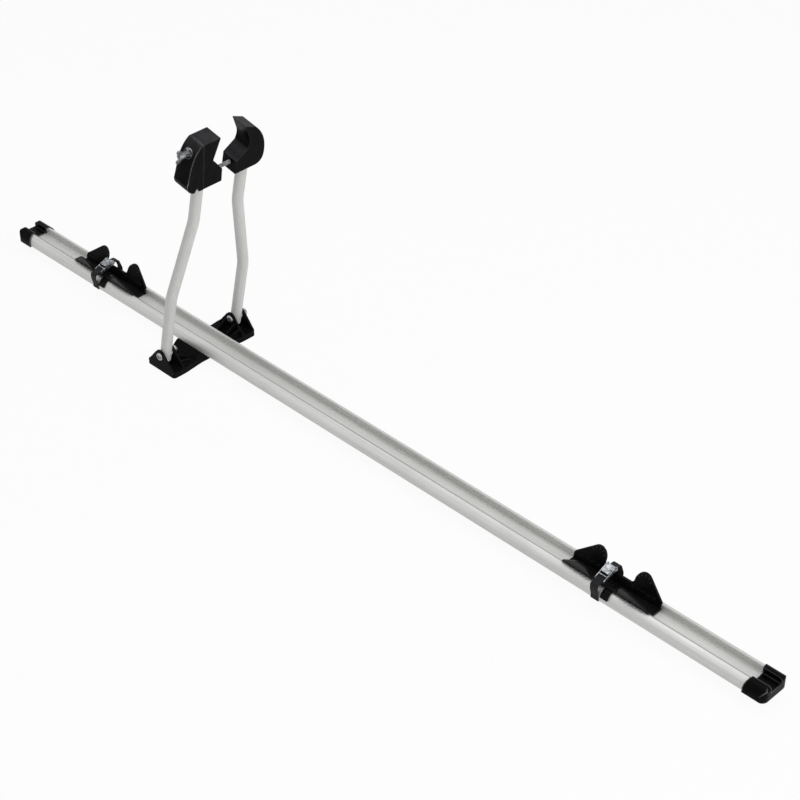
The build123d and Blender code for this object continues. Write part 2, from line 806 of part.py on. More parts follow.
for name, tray_place in (("far", far_tray_place), ("near", near_tray_place)):
    buckle_place = tray_place + buckle_offset
    buckle_plane = Plane(
        origin=(buckle_place, buckle_side, foot_height + buckle_height),
        x_dir=(1, 0, 0),
        z_dir=(0, -sin(tilt), cos(tilt)),
    )
    buckle_section = Plane(
        origin=buckle_plane.origin, x_dir=buckle_plane.y_dir, z_dir=(1, 0, 0)
    )

    with BuildPart() as wheel_tray:
        with BuildSketch(section_plane(tray_place)):
            Polygon(
                (0, tray_keel),
                (keel_side, tray_keel),
                (keel_side, tray_seat),
                (tray_base / 2, tray_seat),
                (petal_reach, tray_seat + petal_height),
                (petal_reach - petal_wall, tray_seat + petal_height),
                (keel_wall, petal_root),
                (keel_wall, tray_keel + tray_wall),
                (0, tray_keel + tray_wall),
                align=None,
            )
            mirror(about=Plane.YZ)
        extrude(amount=tray_length / 2, both=True)
        with BuildSketch(side_plane(tray_place)) as tray_side:
            with Locations((petal_place, tray_seat + petal_centre)):
                Circle(petal_radius)
            with Locations((tray_length / 2, 0)):
                Rectangle(
                    tray_length / 2 - petal_place + petal_radius,
                    tray_seat + tray_end_height,
                    align=(Align.MAX, Align.MIN),
                )
            make_hull()
            mirror(about=Plane.YZ)
            Rectangle(
                2 * petal_place,
                tray_seat + valley_height,
                align=(Align.CENTER, Align.MIN),
            )
            valley_ends = tray_side.vertices().filter_by(
                lambda v: abs(v.Y - tray_seat - valley_height) < fit_gap
            )
            fillet(valley_ends, valley_radius)
        extrude(amount=petal_reach + overrun, both=True, mode=Mode.INTERSECT)
        with BuildSketch(side_plane(tray_place)):
            with GridLocations(2 * tray_slot_place, 0, 2, 1):
                with GridLocations(tray_slot_pitch, 0, tray_slot_count, 1):
                    with Locations((0, tray_seat + tray_slot_rise)):
                        Rectangle(tray_slot_length, tray_slot_height)
        extrude(amount=petal_reach + overrun, both=True, mode=Mode.SUBTRACT)
        lug_start = buckle_place + strap_width / 2 + lug_gap
        with BuildSketch(section_plane(lug_start)):
            with BuildLine():
                draw_rail_outline(rail_gap + lug_wall, keel_side, tray_keel)
            make_face()
            with BuildLine():
                draw_rail_outline(rail_gap, keel_wall, 0)
            make_face(mode=Mode.SUBTRACT)
            with Locations((keel_side, lug_foot)):
                Rectangle(
                    rail_width,
                    rail_height,
                    align=(Align.MIN, Align.MIN),
                    mode=Mode.INTERSECT,
                )
            mirror(about=Plane.YZ)
        extrude(amount=lug_width)
    save(wheel_tray, f"wheel_tray_{name}")

    near_exit = buckle_plane.from_local_coords((0, -buckle_front, 0))
    far_exit = buckle_plane.from_local_coords((0, buckle_back, 0))
    with BuildPart() as strap:
        with BuildSketch(section_plane(buckle_place - strap_width / 2)):
            with BuildLine():
                FilletPolyline(
                    (near_exit.Y, near_exit.Z - foot_height),
                    (-strap_side - strap_bulge, strap_high),
                    (-strap_side - strap_bulge, strap_low),
                    (-strap_side, strap_knee),
                    (-strap_side, strap_under),
                    (strap_side, strap_under),
                    (strap_side, strap_low),
                    (strap_crown_side, strap_crown),
                    (far_exit.Y, far_exit.Z - foot_height),
                    radius=skirt_radius + rail_gap + strap_thickness / 2,
                    close=True,
                )
            trace(line_width=strap_thickness)
        extrude(amount=strap_width)
    save(strap, f"strap_{name}")

    # Buckle: two upright walls with prongs, a floor under the webbing, a crossbar
    with BuildPart() as buckle:
        with BuildSketch(buckle_section) as walls:
            Polygon(
                (-buckle_front, floor_top - buckle_floor),
                (buckle_back, floor_top - buckle_floor),
                (buckle_back, buckle_high_wall),
                (pin_place - barrel_radius, buckle_high_wall),
                (bar_place + bar_radius, buckle_low_wall),
                (-buckle_front, buckle_low_wall / 2),
                align=None,
            )
            fillet(walls.vertices().group_by(Axis.X)[-1], prong_radius)
        extrude(amount=buckle_outer, both=True)
        with BuildSketch(buckle_section):
            with Locations((0, floor_top)):
                Rectangle(
                    2 * (buckle_front + buckle_back),
                    2 * buckle_high_wall,
                    align=(Align.CENTER, Align.MIN),
                )
            with Locations((-buckle_floor_front, 0)):
                Rectangle(
                    buckle_front, 2 * buckle_high_wall, align=(Align.MAX, Align.CENTER)
                )
        extrude(amount=buckle_inner, both=True, mode=Mode.SUBTRACT)
        with BuildSketch(buckle_section):
            with Locations((bar_place, bar_height)):
                Circle(bar_radius)
        extrude(amount=buckle_outer, both=True)
        with BuildSketch(buckle_section):
            with Locations((pin_place, pin_height)):
                Circle(pin_radius + run_gap)
        extrude(amount=buckle_outer, both=True, mode=Mode.SUBTRACT)
    save(buckle, f"buckle_{name}")

    with BuildPart() as buckle_pin:
        with BuildSketch(buckle_section):
            with Locations((pin_place, pin_height)):
                Circle(pin_radius)
        extrude(amount=pin_reach, both=True)
    save(buckle_pin, f"buckle_pin_{name}")

    with BuildPart() as cam_lever:
        with BuildSketch(buckle_section):
            with Locations((pin_place, pin_height)):
                Circle(barrel_radius)
            with Locations((lever_front, pin_height + barrel_radius)):
                Rectangle(
                    pin_place - lever_front, lever_wall, align=(Align.MIN, Align.MAX)
                )
            with Locations((pin_place, pin_height)):
                Circle(pin_radius + run_gap, mode=Mode.SUBTRACT)
        extrude(amount=buckle_inner - lever_gap, both=True)
    save(cam_lever, f"cam_lever_{name}")
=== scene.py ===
"""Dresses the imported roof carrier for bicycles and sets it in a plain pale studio.

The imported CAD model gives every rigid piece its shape. This script adds what a solid
can't carry: woven straps, cut threads, the cast wing screw, bolt sockets and moulded
marks, with a procedural finish for each surface.
"""

import json
import logging
import math
from dataclasses import dataclass
from enum import Enum
from typing import Any, Optional, Sequence

import bmesh
import bpy
from mathutils import Matrix, Vector

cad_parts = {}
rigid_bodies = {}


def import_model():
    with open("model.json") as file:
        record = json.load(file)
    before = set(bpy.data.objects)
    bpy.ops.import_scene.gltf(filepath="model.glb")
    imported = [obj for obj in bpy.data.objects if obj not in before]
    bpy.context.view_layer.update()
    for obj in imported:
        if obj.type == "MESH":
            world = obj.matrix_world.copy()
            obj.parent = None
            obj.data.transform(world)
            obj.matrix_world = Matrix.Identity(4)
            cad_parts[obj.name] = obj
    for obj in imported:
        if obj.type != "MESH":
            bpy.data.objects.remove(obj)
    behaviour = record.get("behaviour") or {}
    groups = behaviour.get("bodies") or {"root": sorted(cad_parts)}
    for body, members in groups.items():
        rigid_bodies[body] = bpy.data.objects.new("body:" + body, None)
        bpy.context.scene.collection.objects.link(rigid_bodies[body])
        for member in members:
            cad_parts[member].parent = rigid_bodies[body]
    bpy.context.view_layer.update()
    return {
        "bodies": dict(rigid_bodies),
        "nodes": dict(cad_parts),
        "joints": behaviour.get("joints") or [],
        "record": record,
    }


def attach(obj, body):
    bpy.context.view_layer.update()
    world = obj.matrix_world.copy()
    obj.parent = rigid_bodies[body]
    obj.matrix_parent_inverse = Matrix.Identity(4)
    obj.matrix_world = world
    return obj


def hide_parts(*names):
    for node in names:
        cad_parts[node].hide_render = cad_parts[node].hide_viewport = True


log = logging.getLogger("carrier")

# Sizes of the carrier are in millimetres, and MM turns them into metres
MM = 0.001
WELD = 0.01 * MM
LEAN = math.radians(12.4)
PIVOT_HEIGHT = 26.3
RAIL_UNDERSIDE = 17.5


class Slot(Enum):
    """Material slots of the record."""

    RAIL = "anodised_rail"
    TUBE = "satin_tube"
    MOULDED = "moulded_black"
    WEBBING = "webbing"
    NYLON = "nylon"
    ZINC = "zinc_plate"
    STEEL = "plated_steel"


class Body(Enum):
    """Bodies of the carrier that get pieces modelled here."""

    CARRIER = "carrier"
    ARMS = "arms"
    SCREW = "screw"
    TRAY_FAR = "tray_far"
    TRAY_NEAR = "tray_near"


# Colours and nodes


def linear(colour: str) -> tuple[float, float, float, float]:
    """Turn an sRGB colour into the linear values that Blender's sockets take.

    Args:
        colour: Hex value such as "#c8c8c4".

    Returns:
        Red, green, blue and an alpha of 1.
    """
    channels = [int(colour[i : i + 2], 16) / 255 for i in (1, 3, 5)]
    red, green, blue = (
        c / 12.92 if c <= 0.04045 else ((c + 0.055) / 1.055) ** 2.4 for c in channels
    )
    return red, green, blue, 1.0


def add_node(
    tree: bpy.types.NodeTree,
    kind: str,
    inputs: Optional[dict[Any, Any]] = None,
    **settings: Any,
) -> bpy.types.Node:
    """Add a node with its settings and its inputs.

    Args:
        tree: Node tree that gets it.
        kind: Node type, without its "ShaderNode" prefix.
        inputs: Input name or index to a value, or to the output socket that feeds it.
        **settings: Properties of the node itself.

    Returns:
        The new node.
    """
    node = tree.nodes.new("ShaderNode" + kind)
    for name, value in settings.items():
        setattr(node, name, value)
    for key, value in (inputs or {}).items():
        if isinstance(value, bpy.types.NodeSocket):
            tree.links.new(value, node.inputs[key])
        else:
            node.inputs[key].default_value = value
    return node


def maths(tree: bpy.types.NodeTree, operation: str, *values: Any) -> bpy.types.NodeSocket:
    """Work out a value with one Math node.

    Args:
        tree: Node tree that gets it.
        operation: What the node does.
        *values: Numbers or sockets, in the node's order.

    Returns:
        The result.
    """
    return add_node(tree, "Math", dict(enumerate(values)), operation=operation).outputs[0]


# Finishes


@dataclass(frozen=True)
class Finish:
    """What every finish shares: its name and how soft its edges look."""

    name: str
    edge_mm: float = 0.4

    def start(self) -> tuple[bpy.types.Material, bpy.types.NodeTree, bpy.types.Node]:
        """Make an empty material with a shader on its output.

        Returns:
            The material, its node tree and the shader.
        """
        material = bpy.data.materials.new(self.name)
        material.use_nodes = True
        tree = material.node_tree
        tree.nodes.clear()
        shader = add_node(tree, "BsdfPrincipled")
        add_node(tree, "OutputMaterial", {"Surface": shader.outputs["BSDF"]})
        return material, tree, shader

    def coordinate(
        self, tree: bpy.types.NodeTree, kind: str, axis: str
    ) -> bpy.types.NodeSocket:
        """Read one axis of a texture coordinate.

        Args:
            tree: Node tree that gets it.
            kind: "Object" for the place on the carrier, "Normal" for the way a face looks.
            axis: X, Y or Z.

        Returns:
            The value along that axis.
        """
        whole = add_node(tree, "TexCoord").outputs[kind]
        return add_node(tree, "SeparateXYZ", {0: whole}).outputs[axis]

    def speckle(
        self,
        tree: bpy.types.NodeTree,
        size_mm: Sequence[float],
        lean: float = 0.0,
        detail: float = 2.0,
    ) -> bpy.types.NodeSocket:
        """Noise on the object's own coordinates, with a grain of a real size.

        Args:
            tree: Node tree that gets it.
            size_mm: Grain size along X, Y and Z.
            lean: Turn of the grain about Y, in radians.
            detail: Octaves of finer noise.

        Returns:
            The noise, about 0 to 1.
        """
        place = add_node(tree, "TexCoord").outputs["Object"]
        grain = add_node(
            tree,
            "Mapping",
            {
                "Vector": place,
                "Rotation": (0.0, lean, 0.0),
                "Scale": tuple(size * MM for size in size_mm),
            },
            vector_type="TEXTURE",
        )
        noise = add_node(
            tree,
            "TexNoise",
            {"Vector": grain.outputs["Vector"], "Scale": 1.0, "Detail": detail},
        )
        return noise.outputs["Fac"]

    def spread(
        self,
        tree: bpy.types.NodeTree,
        value: bpy.types.NodeSocket,
        low: float,
        high: float,
        start: float = 0.35,
        end: float = 0.65,
    ) -> bpy.types.NodeSocket:
        """Stretch a noise to a range of its own.

        Args:
            tree: Node tree that gets it.
            value: The noise.
            low: What the start becomes.
            high: What the end becomes.
            start: Noise value at the low end.
            end: Noise value at the high end.

        Returns:
            The stretched value.
        """
        stretched = add_node(
            tree,
            "MapRange",
            {"Value": value, "From Min": start, "From Max": end, "To Min": low, "To Max": high},
        )
        return stretched.outputs["Result"]

    def tint(
        self,
        tree: bpy.types.NodeTree,
        share: bpy.types.NodeSocket,
        first: Any,
        second: Any,
    ) -> bpy.types.NodeSocket:
        """Mix two colours, each a hex value or a socket.

        Args:
            tree: Node tree that gets it.
            share: How much of the second colour shows.
            first: Colour at 0.
            second: Colour at 1.

        Returns:
            The mixed colour.
        """
        colours = [linear(c) if isinstance(c, str) else c for c in (first, second)]
        mixed = add_node(
            tree, "Mix", {0: share, 6: colours[0], 7: colours[1]}, data_type="RGBA"
        )
        return mixed.outputs[2]

    def soft_edges(self, tree: bpy.types.NodeTree) -> bpy.types.Node:
        """Round the shading of sharp edges, as on a moulded or tumbled piece."""
        return add_node(tree, "Bevel", {"Radius": self.edge_mm * MM}, samples=6)

    def edge_share(
        self, tree: bpy.types.NodeTree, soft: bpy.types.Node
    ) -> bpy.types.NodeSocket:
        """Find the edges, where the rounded shading leaves the face's own direction.

        Args:
            tree: Node tree that gets it.
            soft: The node from soft_edges.

        Returns:
            0 on a face, 1 on an edge.
        """
        facing = add_node(tree, "NewGeometry").outputs["Normal"]
        turn = add_node(
            tree,
            "VectorMath",
            {0: soft.outputs["Normal"], 1: facing},
            operation="DOT_PRODUCT",
        )
        return self.spread(tree, turn.outputs["Value"], 0.0, 1.0, 0.997, 0.93)

    def roughen(
        self,
        tree: bpy.types.NodeTree,
        height: bpy.types.NodeSocket,
        depth_mm: float,
        normal: bpy.types.NodeSocket,
        strength: float = 0.6,
    ) -> bpy.types.NodeSocket:
        """Raise a noise off the surface.

        Args:
            tree: Node tree that gets it.
            height: The noise.
            depth_mm: Real height from its low to its high.
            normal: Shading that it starts from.
            strength: How much of it shows.

        Returns:
            The new shading normal.
        """
        bump = add_node(
            tree,
            "Bump",
            {"Height": height, "Distance": depth_mm * MM, "Strength": strength, "Normal": normal},
        )
        return bump.outputs["Normal"]


@dataclass(frozen=True)
class AnodisedAluminium(Finish):
    """6063 aluminium, extruded or drawn, etched and clear anodised.

    The etch gives a soft silver without mirror glints, and the die leaves faint
    lines that run the length of the piece.
    """

    light: str = "#cbcbc9"
    dark: str = "#bcbcba"
    roughness: float = 0.55
    metallic: float = 0.8
    line_mm: tuple[float, float, float] = (260.0, 0.9, 0.9)
    line_depth_mm: float = 0.02
    lean: float = 0.0
    etch_mm: float = 0.35
    etch_depth_mm: float = 0.006
    handled_mm: tuple[float, float, float] = (55.0, 40.0, 40.0)

    def painted_lines(
        self, tree: bpy.types.NodeTree, colour: bpy.types.NodeSocket
    ) -> bpy.types.NodeSocket:
        """Add the painted shade lines that one kind of piece has. A plain piece has none."""
        return colour

    def build(self) -> bpy.types.Material:
        """Make the material.

        Returns:
            The material.
        """
        material, tree, shader = self.start()
        # Die lines are 0.1 to 0.3 mm apart; 0.9 mm is what still shows in the render
        lines = self.speckle(tree, self.line_mm, self.lean, detail=3.0)
        # Etch pits are under 0.1 mm, and are drawn coarser for the same reason
        etch = self.speckle(tree, (self.etch_mm,) * 3)
        handling = self.speckle(tree, self.handled_mm, detail=3.0)
        streaked = self.tint(tree, self.spread(tree, lines, 0.0, 1.0), self.dark, self.light)
        smudge = self.spread(tree, handling, 0.0, 0.35, 0.5, 0.75)
        colour = self.tint(tree, smudge, streaked, self.dark)
        tree.links.new(self.painted_lines(tree, colour), shader.inputs["Base Color"])
        matt = self.spread(
            tree, handling, self.roughness - 0.04, self.roughness + 0.07, 0.3, 0.7
        )
        tree.links.new(matt, shader.inputs["Roughness"])
        soft = self.soft_edges(tree)
        lined = self.roughen(tree, lines, self.line_depth_mm, soft.outputs["Normal"], 0.5)
        pitted = self.roughen(tree, etch, self.etch_depth_mm, lined, 0.2)
        tree.links.new(pitted, shader.inputs["Normal"])
        shader.inputs["Metallic"].default_value = self.metallic
        return material


@dataclass(frozen=True)
class RidgedAluminium(AnodisedAluminium):
    """The same aluminium on the rail, whose two ridges carry the tyres and trays.

    A fine grey line of painted shade runs along the narrow land of each ridge,
    ridge_mm from the rail's middle.
    """

    ridge_mm: float = 13.2
    land_mm: float = 0.75
    ridge_shade: str = "#82827f"

    def painted_lines(
        self, tree: bpy.types.NodeTree, colour: bpy.types.NodeSocket
    ) -> bpy.types.NodeSocket:
        """Draw the grey line of painted shade along both ridges.

        Args:
            tree: Node tree that gets it.
            colour: Colour of the clean aluminium.

        Returns:
            The colour with its lines.
        """
        across = maths(tree, "ABSOLUTE", self.coordinate(tree, "Object", "Y"))
        off = maths(tree, "ABSOLUTE", maths(tree, "SUBTRACT", across, self.ridge_mm * MM))
        land = self.land_mm * MM
        # The grey line is painted shade along the edge of each ridge
        line = self.spread(tree, off, 1.0, 0.0, 0.6 * land, 1.1 * land)
        return self.tint(tree, line, colour, self.ridge_shade)


@dataclass(frozen=True)
class MouldedPlastic(Finish):
    """Carbon-black nylon or polypropylene, injection moulded in an eroded tool.

    Fine grain scatters the light over flat faces, and the edges are lightened in
    patches, partly by wear and partly as a painted highlight.
    """

    base: str = "#080809"
    bloom: str = "#0e0e0f"
    # Grey of the lightened edges: partly wear, partly painted highlight
    wear_and_highlight_grey: str = "#6c6c6f"
    roughness: float = 0.3
    specular: float = 0.08
    grain_mm: float = 0.45
    grain_depth_mm: float = 0.03
    flow_mm: tuple[float, float, float] = (18.0, 9.0, 24.0)
    scuff_mm: tuple[float, float, float] = (2.6, 1.2, 1.2)
    polish: float = 0.12
    # Painted top light: share and grey of the lightening on upward faces
    top_light: float = 0.0
    top_light_grey: str = "#3a3a3c"

    def paint_top_light(
        self,
        tree: bpy.types.NodeTree,
        colour: bpy.types.NodeSocket,
        flow: bpy.types.NodeSocket,
    ) -> bpy.types.NodeSocket:
        """Lighten the faces that look up, as a painted light from above.

        Args:
            tree: Node tree that gets it.
            colour: Colour of the clean plastic.
            flow: Slow noise that makes it uneven.

        Returns:
            The greyed colour.
        """
        upward = self.coordinate(tree, "Normal", "Z")
        flat = self.spread(tree, upward, 0.0, self.top_light, 0.25, 0.85)
        uneven = self.spread(tree, flow, 0.6, 1.0)
        return self.tint(tree, maths(tree, "MULTIPLY", flat, uneven), colour, self.top_light_grey)

    def wear_and_highlight(
        self, tree: bpy.types.NodeTree, edges: bpy.types.NodeSocket
    ) -> bpy.types.NodeSocket:
        """Lighten the edges in patches: wear from knocks and stones, and painted highlight.

        Args:
            tree: Node tree that gets it.
            edges: The share from edge_share.

        Returns:
            How much edge wear and painted highlight the surface has.
        """
        scuffs = self.speckle(tree, self.scuff_mm, lean=0.3)
        patches = self.spread(tree, scuffs, 0.1, 0.5, 0.4, 0.62)
        return maths(tree, "MULTIPLY", edges, patches)

    def build(self) -> bpy.types.Material:
        """Make the material.

        Returns:
            The material.
        """
        material, tree, shader = self.start()
        # Spark-eroded grain is 0.1 to 0.2 mm; it is drawn two to six times as coarse
        grain = self.speckle(tree, (self.grain_mm,) * 3)
        flow = self.speckle(tree, self.flow_mm, detail=3.0)
        soft = self.soft_edges(tree)
        clouded = self.tint(tree, self.spread(tree, flow, 0.0, 1.0), self.base, self.bloom)
        # Lighter edges: partly wear, partly painted highlight
        wear_and_highlight = self.wear_and_highlight(tree, self.edge_share(tree, soft))
        # Upward faces are lightened as painted top light, where the finish asks for it
        dulled = self.paint_top_light(tree, clouded, flow) if self.top_light else clouded
        colour = self.tint(tree, wear_and_highlight, dulled, self.wear_and_highlight_grey)
        tree.links.new(colour, shader.inputs["Base Color"])
        uneven = self.spread(tree, flow, self.roughness - 0.05, self.roughness + 0.06, 0.3, 0.7)
        polished = maths(tree, "MULTIPLY_ADD", wear_and_highlight, -self.polish, uneven)
        tree.links.new(polished, shader.inputs["Roughness"])
        shade = self.roughen(tree, grain, self.grain_depth_mm, soft.outputs["Normal"], 0.45)
        tree.links.new(shade, shader.inputs["Normal"])
        shader.inputs["IOR"].default_value = 1.5
        shader.inputs["Specular IOR Level"].default_value = self.specular
        return material


@dataclass(frozen=True)
class EdgeHighlitPlastic(MouldedPlastic):
    """The same plastic on the jaws and the caps, with a painted highlight on its edges.

    The outer edge, on the side of the wing screw, carries an even bright line of painted
    highlight, and the edges further in keep most of their black. The painted highlight grows
    across the carrier, from its least share at inner_mm to all of it at outer_mm.
    """

    inner_mm: float = -50.0
    outer_mm: float = -62.0
    least: float = 0.16

    def wear_and_highlight(
        self, tree: bpy.types.NodeTree, edges: bpy.types.NodeSocket
    ) -> bpy.types.NodeSocket:
        """Paint an even highlight on the edges, stronger towards the wing screw.

        Args:
            tree: Node tree that gets it.
            edges: The share from edge_share.

        Returns:
            How worn the surface is.
        """
        across = self.coordinate(tree, "Object", "Y")
        inner, outer = self.inner_mm * MM, self.outer_mm * MM
        # grip here is the share of painted highlight, growing towards the wing screw
        grip = self.spread(tree, across, self.least, 1.0, inner, outer)
        return maths(tree, "MULTIPLY", edges, grip)


@dataclass(frozen=True)
class ZincPlate(Finish):
    """Steel with bright electroplated zinc, over stamped, turned or cast metal.

    The grey of its thin film shifts over a few millimetres, and small pits, where
    the film is thin, look duller than the rest.
    """

    light: str = "#b4b6b8"
    dark: str = "#7b7d80"
    roughness: float = 0.3
    film_mm: float = 5.0
    pit_mm: float = 0.5
    pit_depth_mm: float = 0.012

    def build(self) -> bpy.types.Material:
        """Make the material.

        Returns:
            The material.
        """
        material, tree, shader = self.start()
        # Pits are 0.1 to 0.2 mm wide; they are drawn coarser, so that they show
        pits = self.speckle(tree, (self.pit_mm,) * 3, detail=3.0)
        film = self.speckle(tree, (self.film_mm,) * 3, detail=3.0)
        soft = self.soft_edges(tree)
        plated = self.tint(tree, self.spread(tree, film, 0.0, 1.0), self.dark, self.light)
        dulled = self.spread(tree, pits, 0.0, 0.5, 0.55, 0.7)
        colour = self.tint(tree, dulled, plated, self.dark)
        tree.links.new(colour, shader.inputs["Base Color"])
        matt = self.spread(tree, film, self.roughness - 0.05, self.roughness + 0.12, 0.3, 0.7)
        tree.links.new(matt, shader.inputs["Roughness"])
        shade = self.roughen(tree, pits, self.pit_depth_mm, soft.outputs["Normal"], 0.5)
        tree.links.new(shade, shader.inputs["Normal"])
        shader.inputs["Metallic"].default_value = 1.0
        return material


@dataclass(frozen=True)
class WovenWebbing(Finish):
    """Black polyester webbing, woven flat on a narrow loom.

    Yarns cross in rows that catch the light one by one, with a low sheen of loose
    fibre. It reads the strap's own UV map, in metres along and across the band.
    """

    yarn: str = "#101011"
    other_yarn: str = "#19191a"
    hollow: str = "#040404"
    lint: str = "#2a2a2c"
    pick_mm: float = 1.8
    row_mm: float = 0.9
    gap_mm: float = 0.16
    yarn_depth_mm: float = 0.22
    tuft_mm: float = 0.3
    tuft_depth_mm: float = 0.04

    def build(self) -> bpy.types.Material:
        """Make the material.

        Returns:
            The material.
        """
        material, tree, shader = self.start()
        flat = add_node(tree, "UVMap", uv_map="band").outputs["UV"]
        metric = add_node(
            tree, "Mapping", {"Vector": flat, "Scale": (MM, MM, MM)}, vector_type="TEXTURE"
        )
        weave = add_node(
            tree,
            "TexBrick",
            {
                "Vector": metric.outputs["Vector"],
                "Color1": linear(self.yarn),
                "Color2": linear(self.other_yarn),
                "Mortar": linear(self.hollow),
                "Scale": 1.0,
                "Mortar Size": self.gap_mm,
                "Mortar Smooth": 1.0,
                "Brick Width": self.pick_mm,
                "Row Height": self.row_mm,
            },
            offset=0.5,
        )
        # A fibre is 0.02 mm thick; 0.3 mm stands for the tufts that still show
        fibre = self.speckle(tree, (self.tuft_mm,) * 3)
        tufts = self.spread(tree, fibre, 0.0, 0.3, 0.5, 0.75)
        colour = self.tint(tree, tufts, weave.outputs["Color"], self.lint)
        tree.links.new(colour, shader.inputs["Base Color"])
        rows = self.spread(tree, weave.outputs["Fac"], 1.0, 0.0, 0.0, 1.0)
        soft = self.soft_edges(tree)
        crossed = self.roughen(tree, rows, self.yarn_depth_mm, soft.outputs["Normal"], 0.8)
        frayed = self.roughen(tree, fibre, self.tuft_depth_mm, crossed, 0.4)
        tree.links.new(frayed, shader.inputs["Normal"])
        tree.links.new(self.spread(tree, fibre, 0.72, 0.9), shader.inputs["Roughness"])
        shader.inputs["Sheen Weight"].default_value = 0.06
        shader.inputs["Sheen Roughness"].default_value = 0.5
        shader.inputs["Specular IOR Level"].default_value = 0.2
        return material


# Meshes


def corners_in(geometry: Sequence[Any]) -> list[bmesh.types.BMVert]:
    """Pick the corners out of what an operator gives back."""
    return [item for item in geometry if isinstance(item, bmesh.types.BMVert)]


def edges_among(
    geometry: Sequence[Any], corners: Sequence[bmesh.types.BMVert]
) -> list[bmesh.types.BMEdge]:
    """Pick the edges that run from one of the corners to another."""
    edges = [item for item in geometry if isinstance(item, bmesh.types.BMEdge)]
    return [edge for edge in edges if all(end in corners for end in edge.verts)]


def revolve(
    bm: bmesh.types.BMesh, profile: Sequence[tuple[float, float]], steps: int = 32
) -> None:
    """Spin a profile about the local X axis into a closed shell.

    Args:
        bm: Mesh that gets the shell.
        profile: Distance along the axis and radius of each corner, in millimetres.
        steps: Facets round the axis.
    """
    corners = [bm.verts.new((x * MM, r * MM, 0.0)) for x, r in profile]
    edges = [bm.edges.new(pair) for pair in zip(corners, corners[1:])]
    bmesh.ops.spin(
        bm,
        geom=corners + edges,
        cent=(0.0, 0.0, 0.0),
        axis=(1.0, 0.0, 0.0),
        angle=2 * math.pi,
        steps=steps,
        use_merge=True,
        use_duplicate=False,
    )
    bmesh.ops.remove_doubles(bm, verts=bm.verts, dist=WELD)


def cut_thread(
    bm: bmesh.types.BMesh, start: float, end: float, radius: float, pitch: float
) -> None:
    """Wind a right-hand thread about the local X axis, with flat ends.

    Args:
        bm: Mesh that gets it. It is empty, because the ends are cut by planes.
        start: Where the thread begins, in millimetres.
        end: Where it ends.
        radius: Radius of the crests.
        pitch: Distance between crests.
    """
    depth_share = 0.54
    root = radius - depth_share * pitch
    shape = ((0.0, root), (0.12, root), (0.42, radius), (0.58, radius), (0.88, root), (1.0, root))
    first = start - pitch
    corners = [bm.verts.new(((first + x * pitch) * MM, r * MM, 0.0)) for x, r in shape]
    edges = [bm.edges.new(pair) for pair in zip(corners, corners[1:])]
    facets = 24
    bmesh.ops.spin(
        bm,
        geom=corners + edges,
        cent=(0.0, 0.0, 0.0),
        axis=(1.0, 0.0, 0.0),
        dvec=(pitch / facets * MM, 0.0, 0.0),
        angle=2 * math.pi,
        steps=facets,
        use_merge=False,
        use_duplicate=False,
    )
    turns, needed = 1, math.ceil((end - start) / pitch) + 2
    while turns < needed:
        copied = bmesh.ops.duplicate(bm, geom=bm.verts[:] + bm.edges[:] + bm.faces[:])
        fresh = corners_in(copied["geom"])
        bmesh.ops.translate(bm, verts=fresh, vec=(turns * pitch * MM, 0.0, 0.0))
        turns *= 2
    bmesh.ops.remove_doubles(bm, verts=bm.verts, dist=WELD)
    for place, way in ((start, -1.0), (end, 1.0)):
        bmesh.ops.bisect_plane(
            bm,
            geom=bm.verts[:] + bm.edges[:] + bm.faces[:],
            dist=0.01 * WELD,
            plane_co=(place * MM, 0.0, 0.0),
            plane_no=(way, 0.0, 0.0),
            clear_outer=True,
        )
    rims = [edge for edge in bm.edges if edge.is_boundary]
    bmesh.ops.holes_fill(bm, edges=rims, sides=0)


def moulded_rib(bm: bmesh.types.BMesh, size: Sequence[float], place: Matrix) -> None:
    """Add a small rib with rounded edges.

    Args:
        bm: Mesh that gets it.
        size: Length along each local axis, in millimetres.
        place: Where it goes, in metres.
    """
    round_share = 0.3
    scaled = Matrix.Diagonal((size[0] * MM, size[1] * MM, size[2] * MM, 1.0))
    block = bmesh.ops.create_cube(bm, size=1.0, matrix=place @ scaled)
    edges = {edge for vert in block["verts"] for edge in vert.link_edges}
    bmesh.ops.bevel(
        bm,
        geom=list(edges),
        offset=round_share * min(size) * MM,
        offset_type="OFFSET",
        affect="EDGES",
        segments=2,
        profile=0.5,
        material=-1,
    )


def make_piece(
    bm: bmesh.types.BMesh,
    name: str,
    body: Body,
    material: bpy.types.Material,
    smooth: float = 35.0,
) -> bpy.types.Object:
    """Turn a finished bmesh into a piece that rides on its body.

    Args:
        bm: The mesh, in metres in the carrier's frame. It is freed.
        name: Name of the piece.
        body: Body that carries it.
        material: Its finish.
        smooth: Edges sharper than this many degrees stay crisp.

    Returns:
        The object, at the origin.
    """
    bmesh.ops.recalc_face_normals(bm, faces=bm.faces)
    mesh = bpy.data.meshes.new(name)
    bm.to_mesh(mesh)
    bm.free()
    mesh.shade_smooth()
    mesh.set_sharp_from_angle(angle=math.radians(smooth))
    mesh.materials.append(material)
    piece = bpy.data.objects.new(name, mesh)
    bpy.context.scene.collection.objects.link(piece)
    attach(piece, body.value)
    log.info("%s: %d faces on %s", name, len(mesh.polygons), body.value)
    return piece


def dress(
    nodes: dict[str, bpy.types.Object],
    names: Sequence[str],
    material: bpy.types.Material,
) -> None:
    """Give CAD nodes their finish.

    Args:
        nodes: All CAD nodes by name.
        names: The nodes to dress.
        material: Their finish.
    """
    for name in names:
        slots = nodes[name].data.materials
        slots.clear()
        slots.append(material)
        log.info("%s: %s", name, material.name)


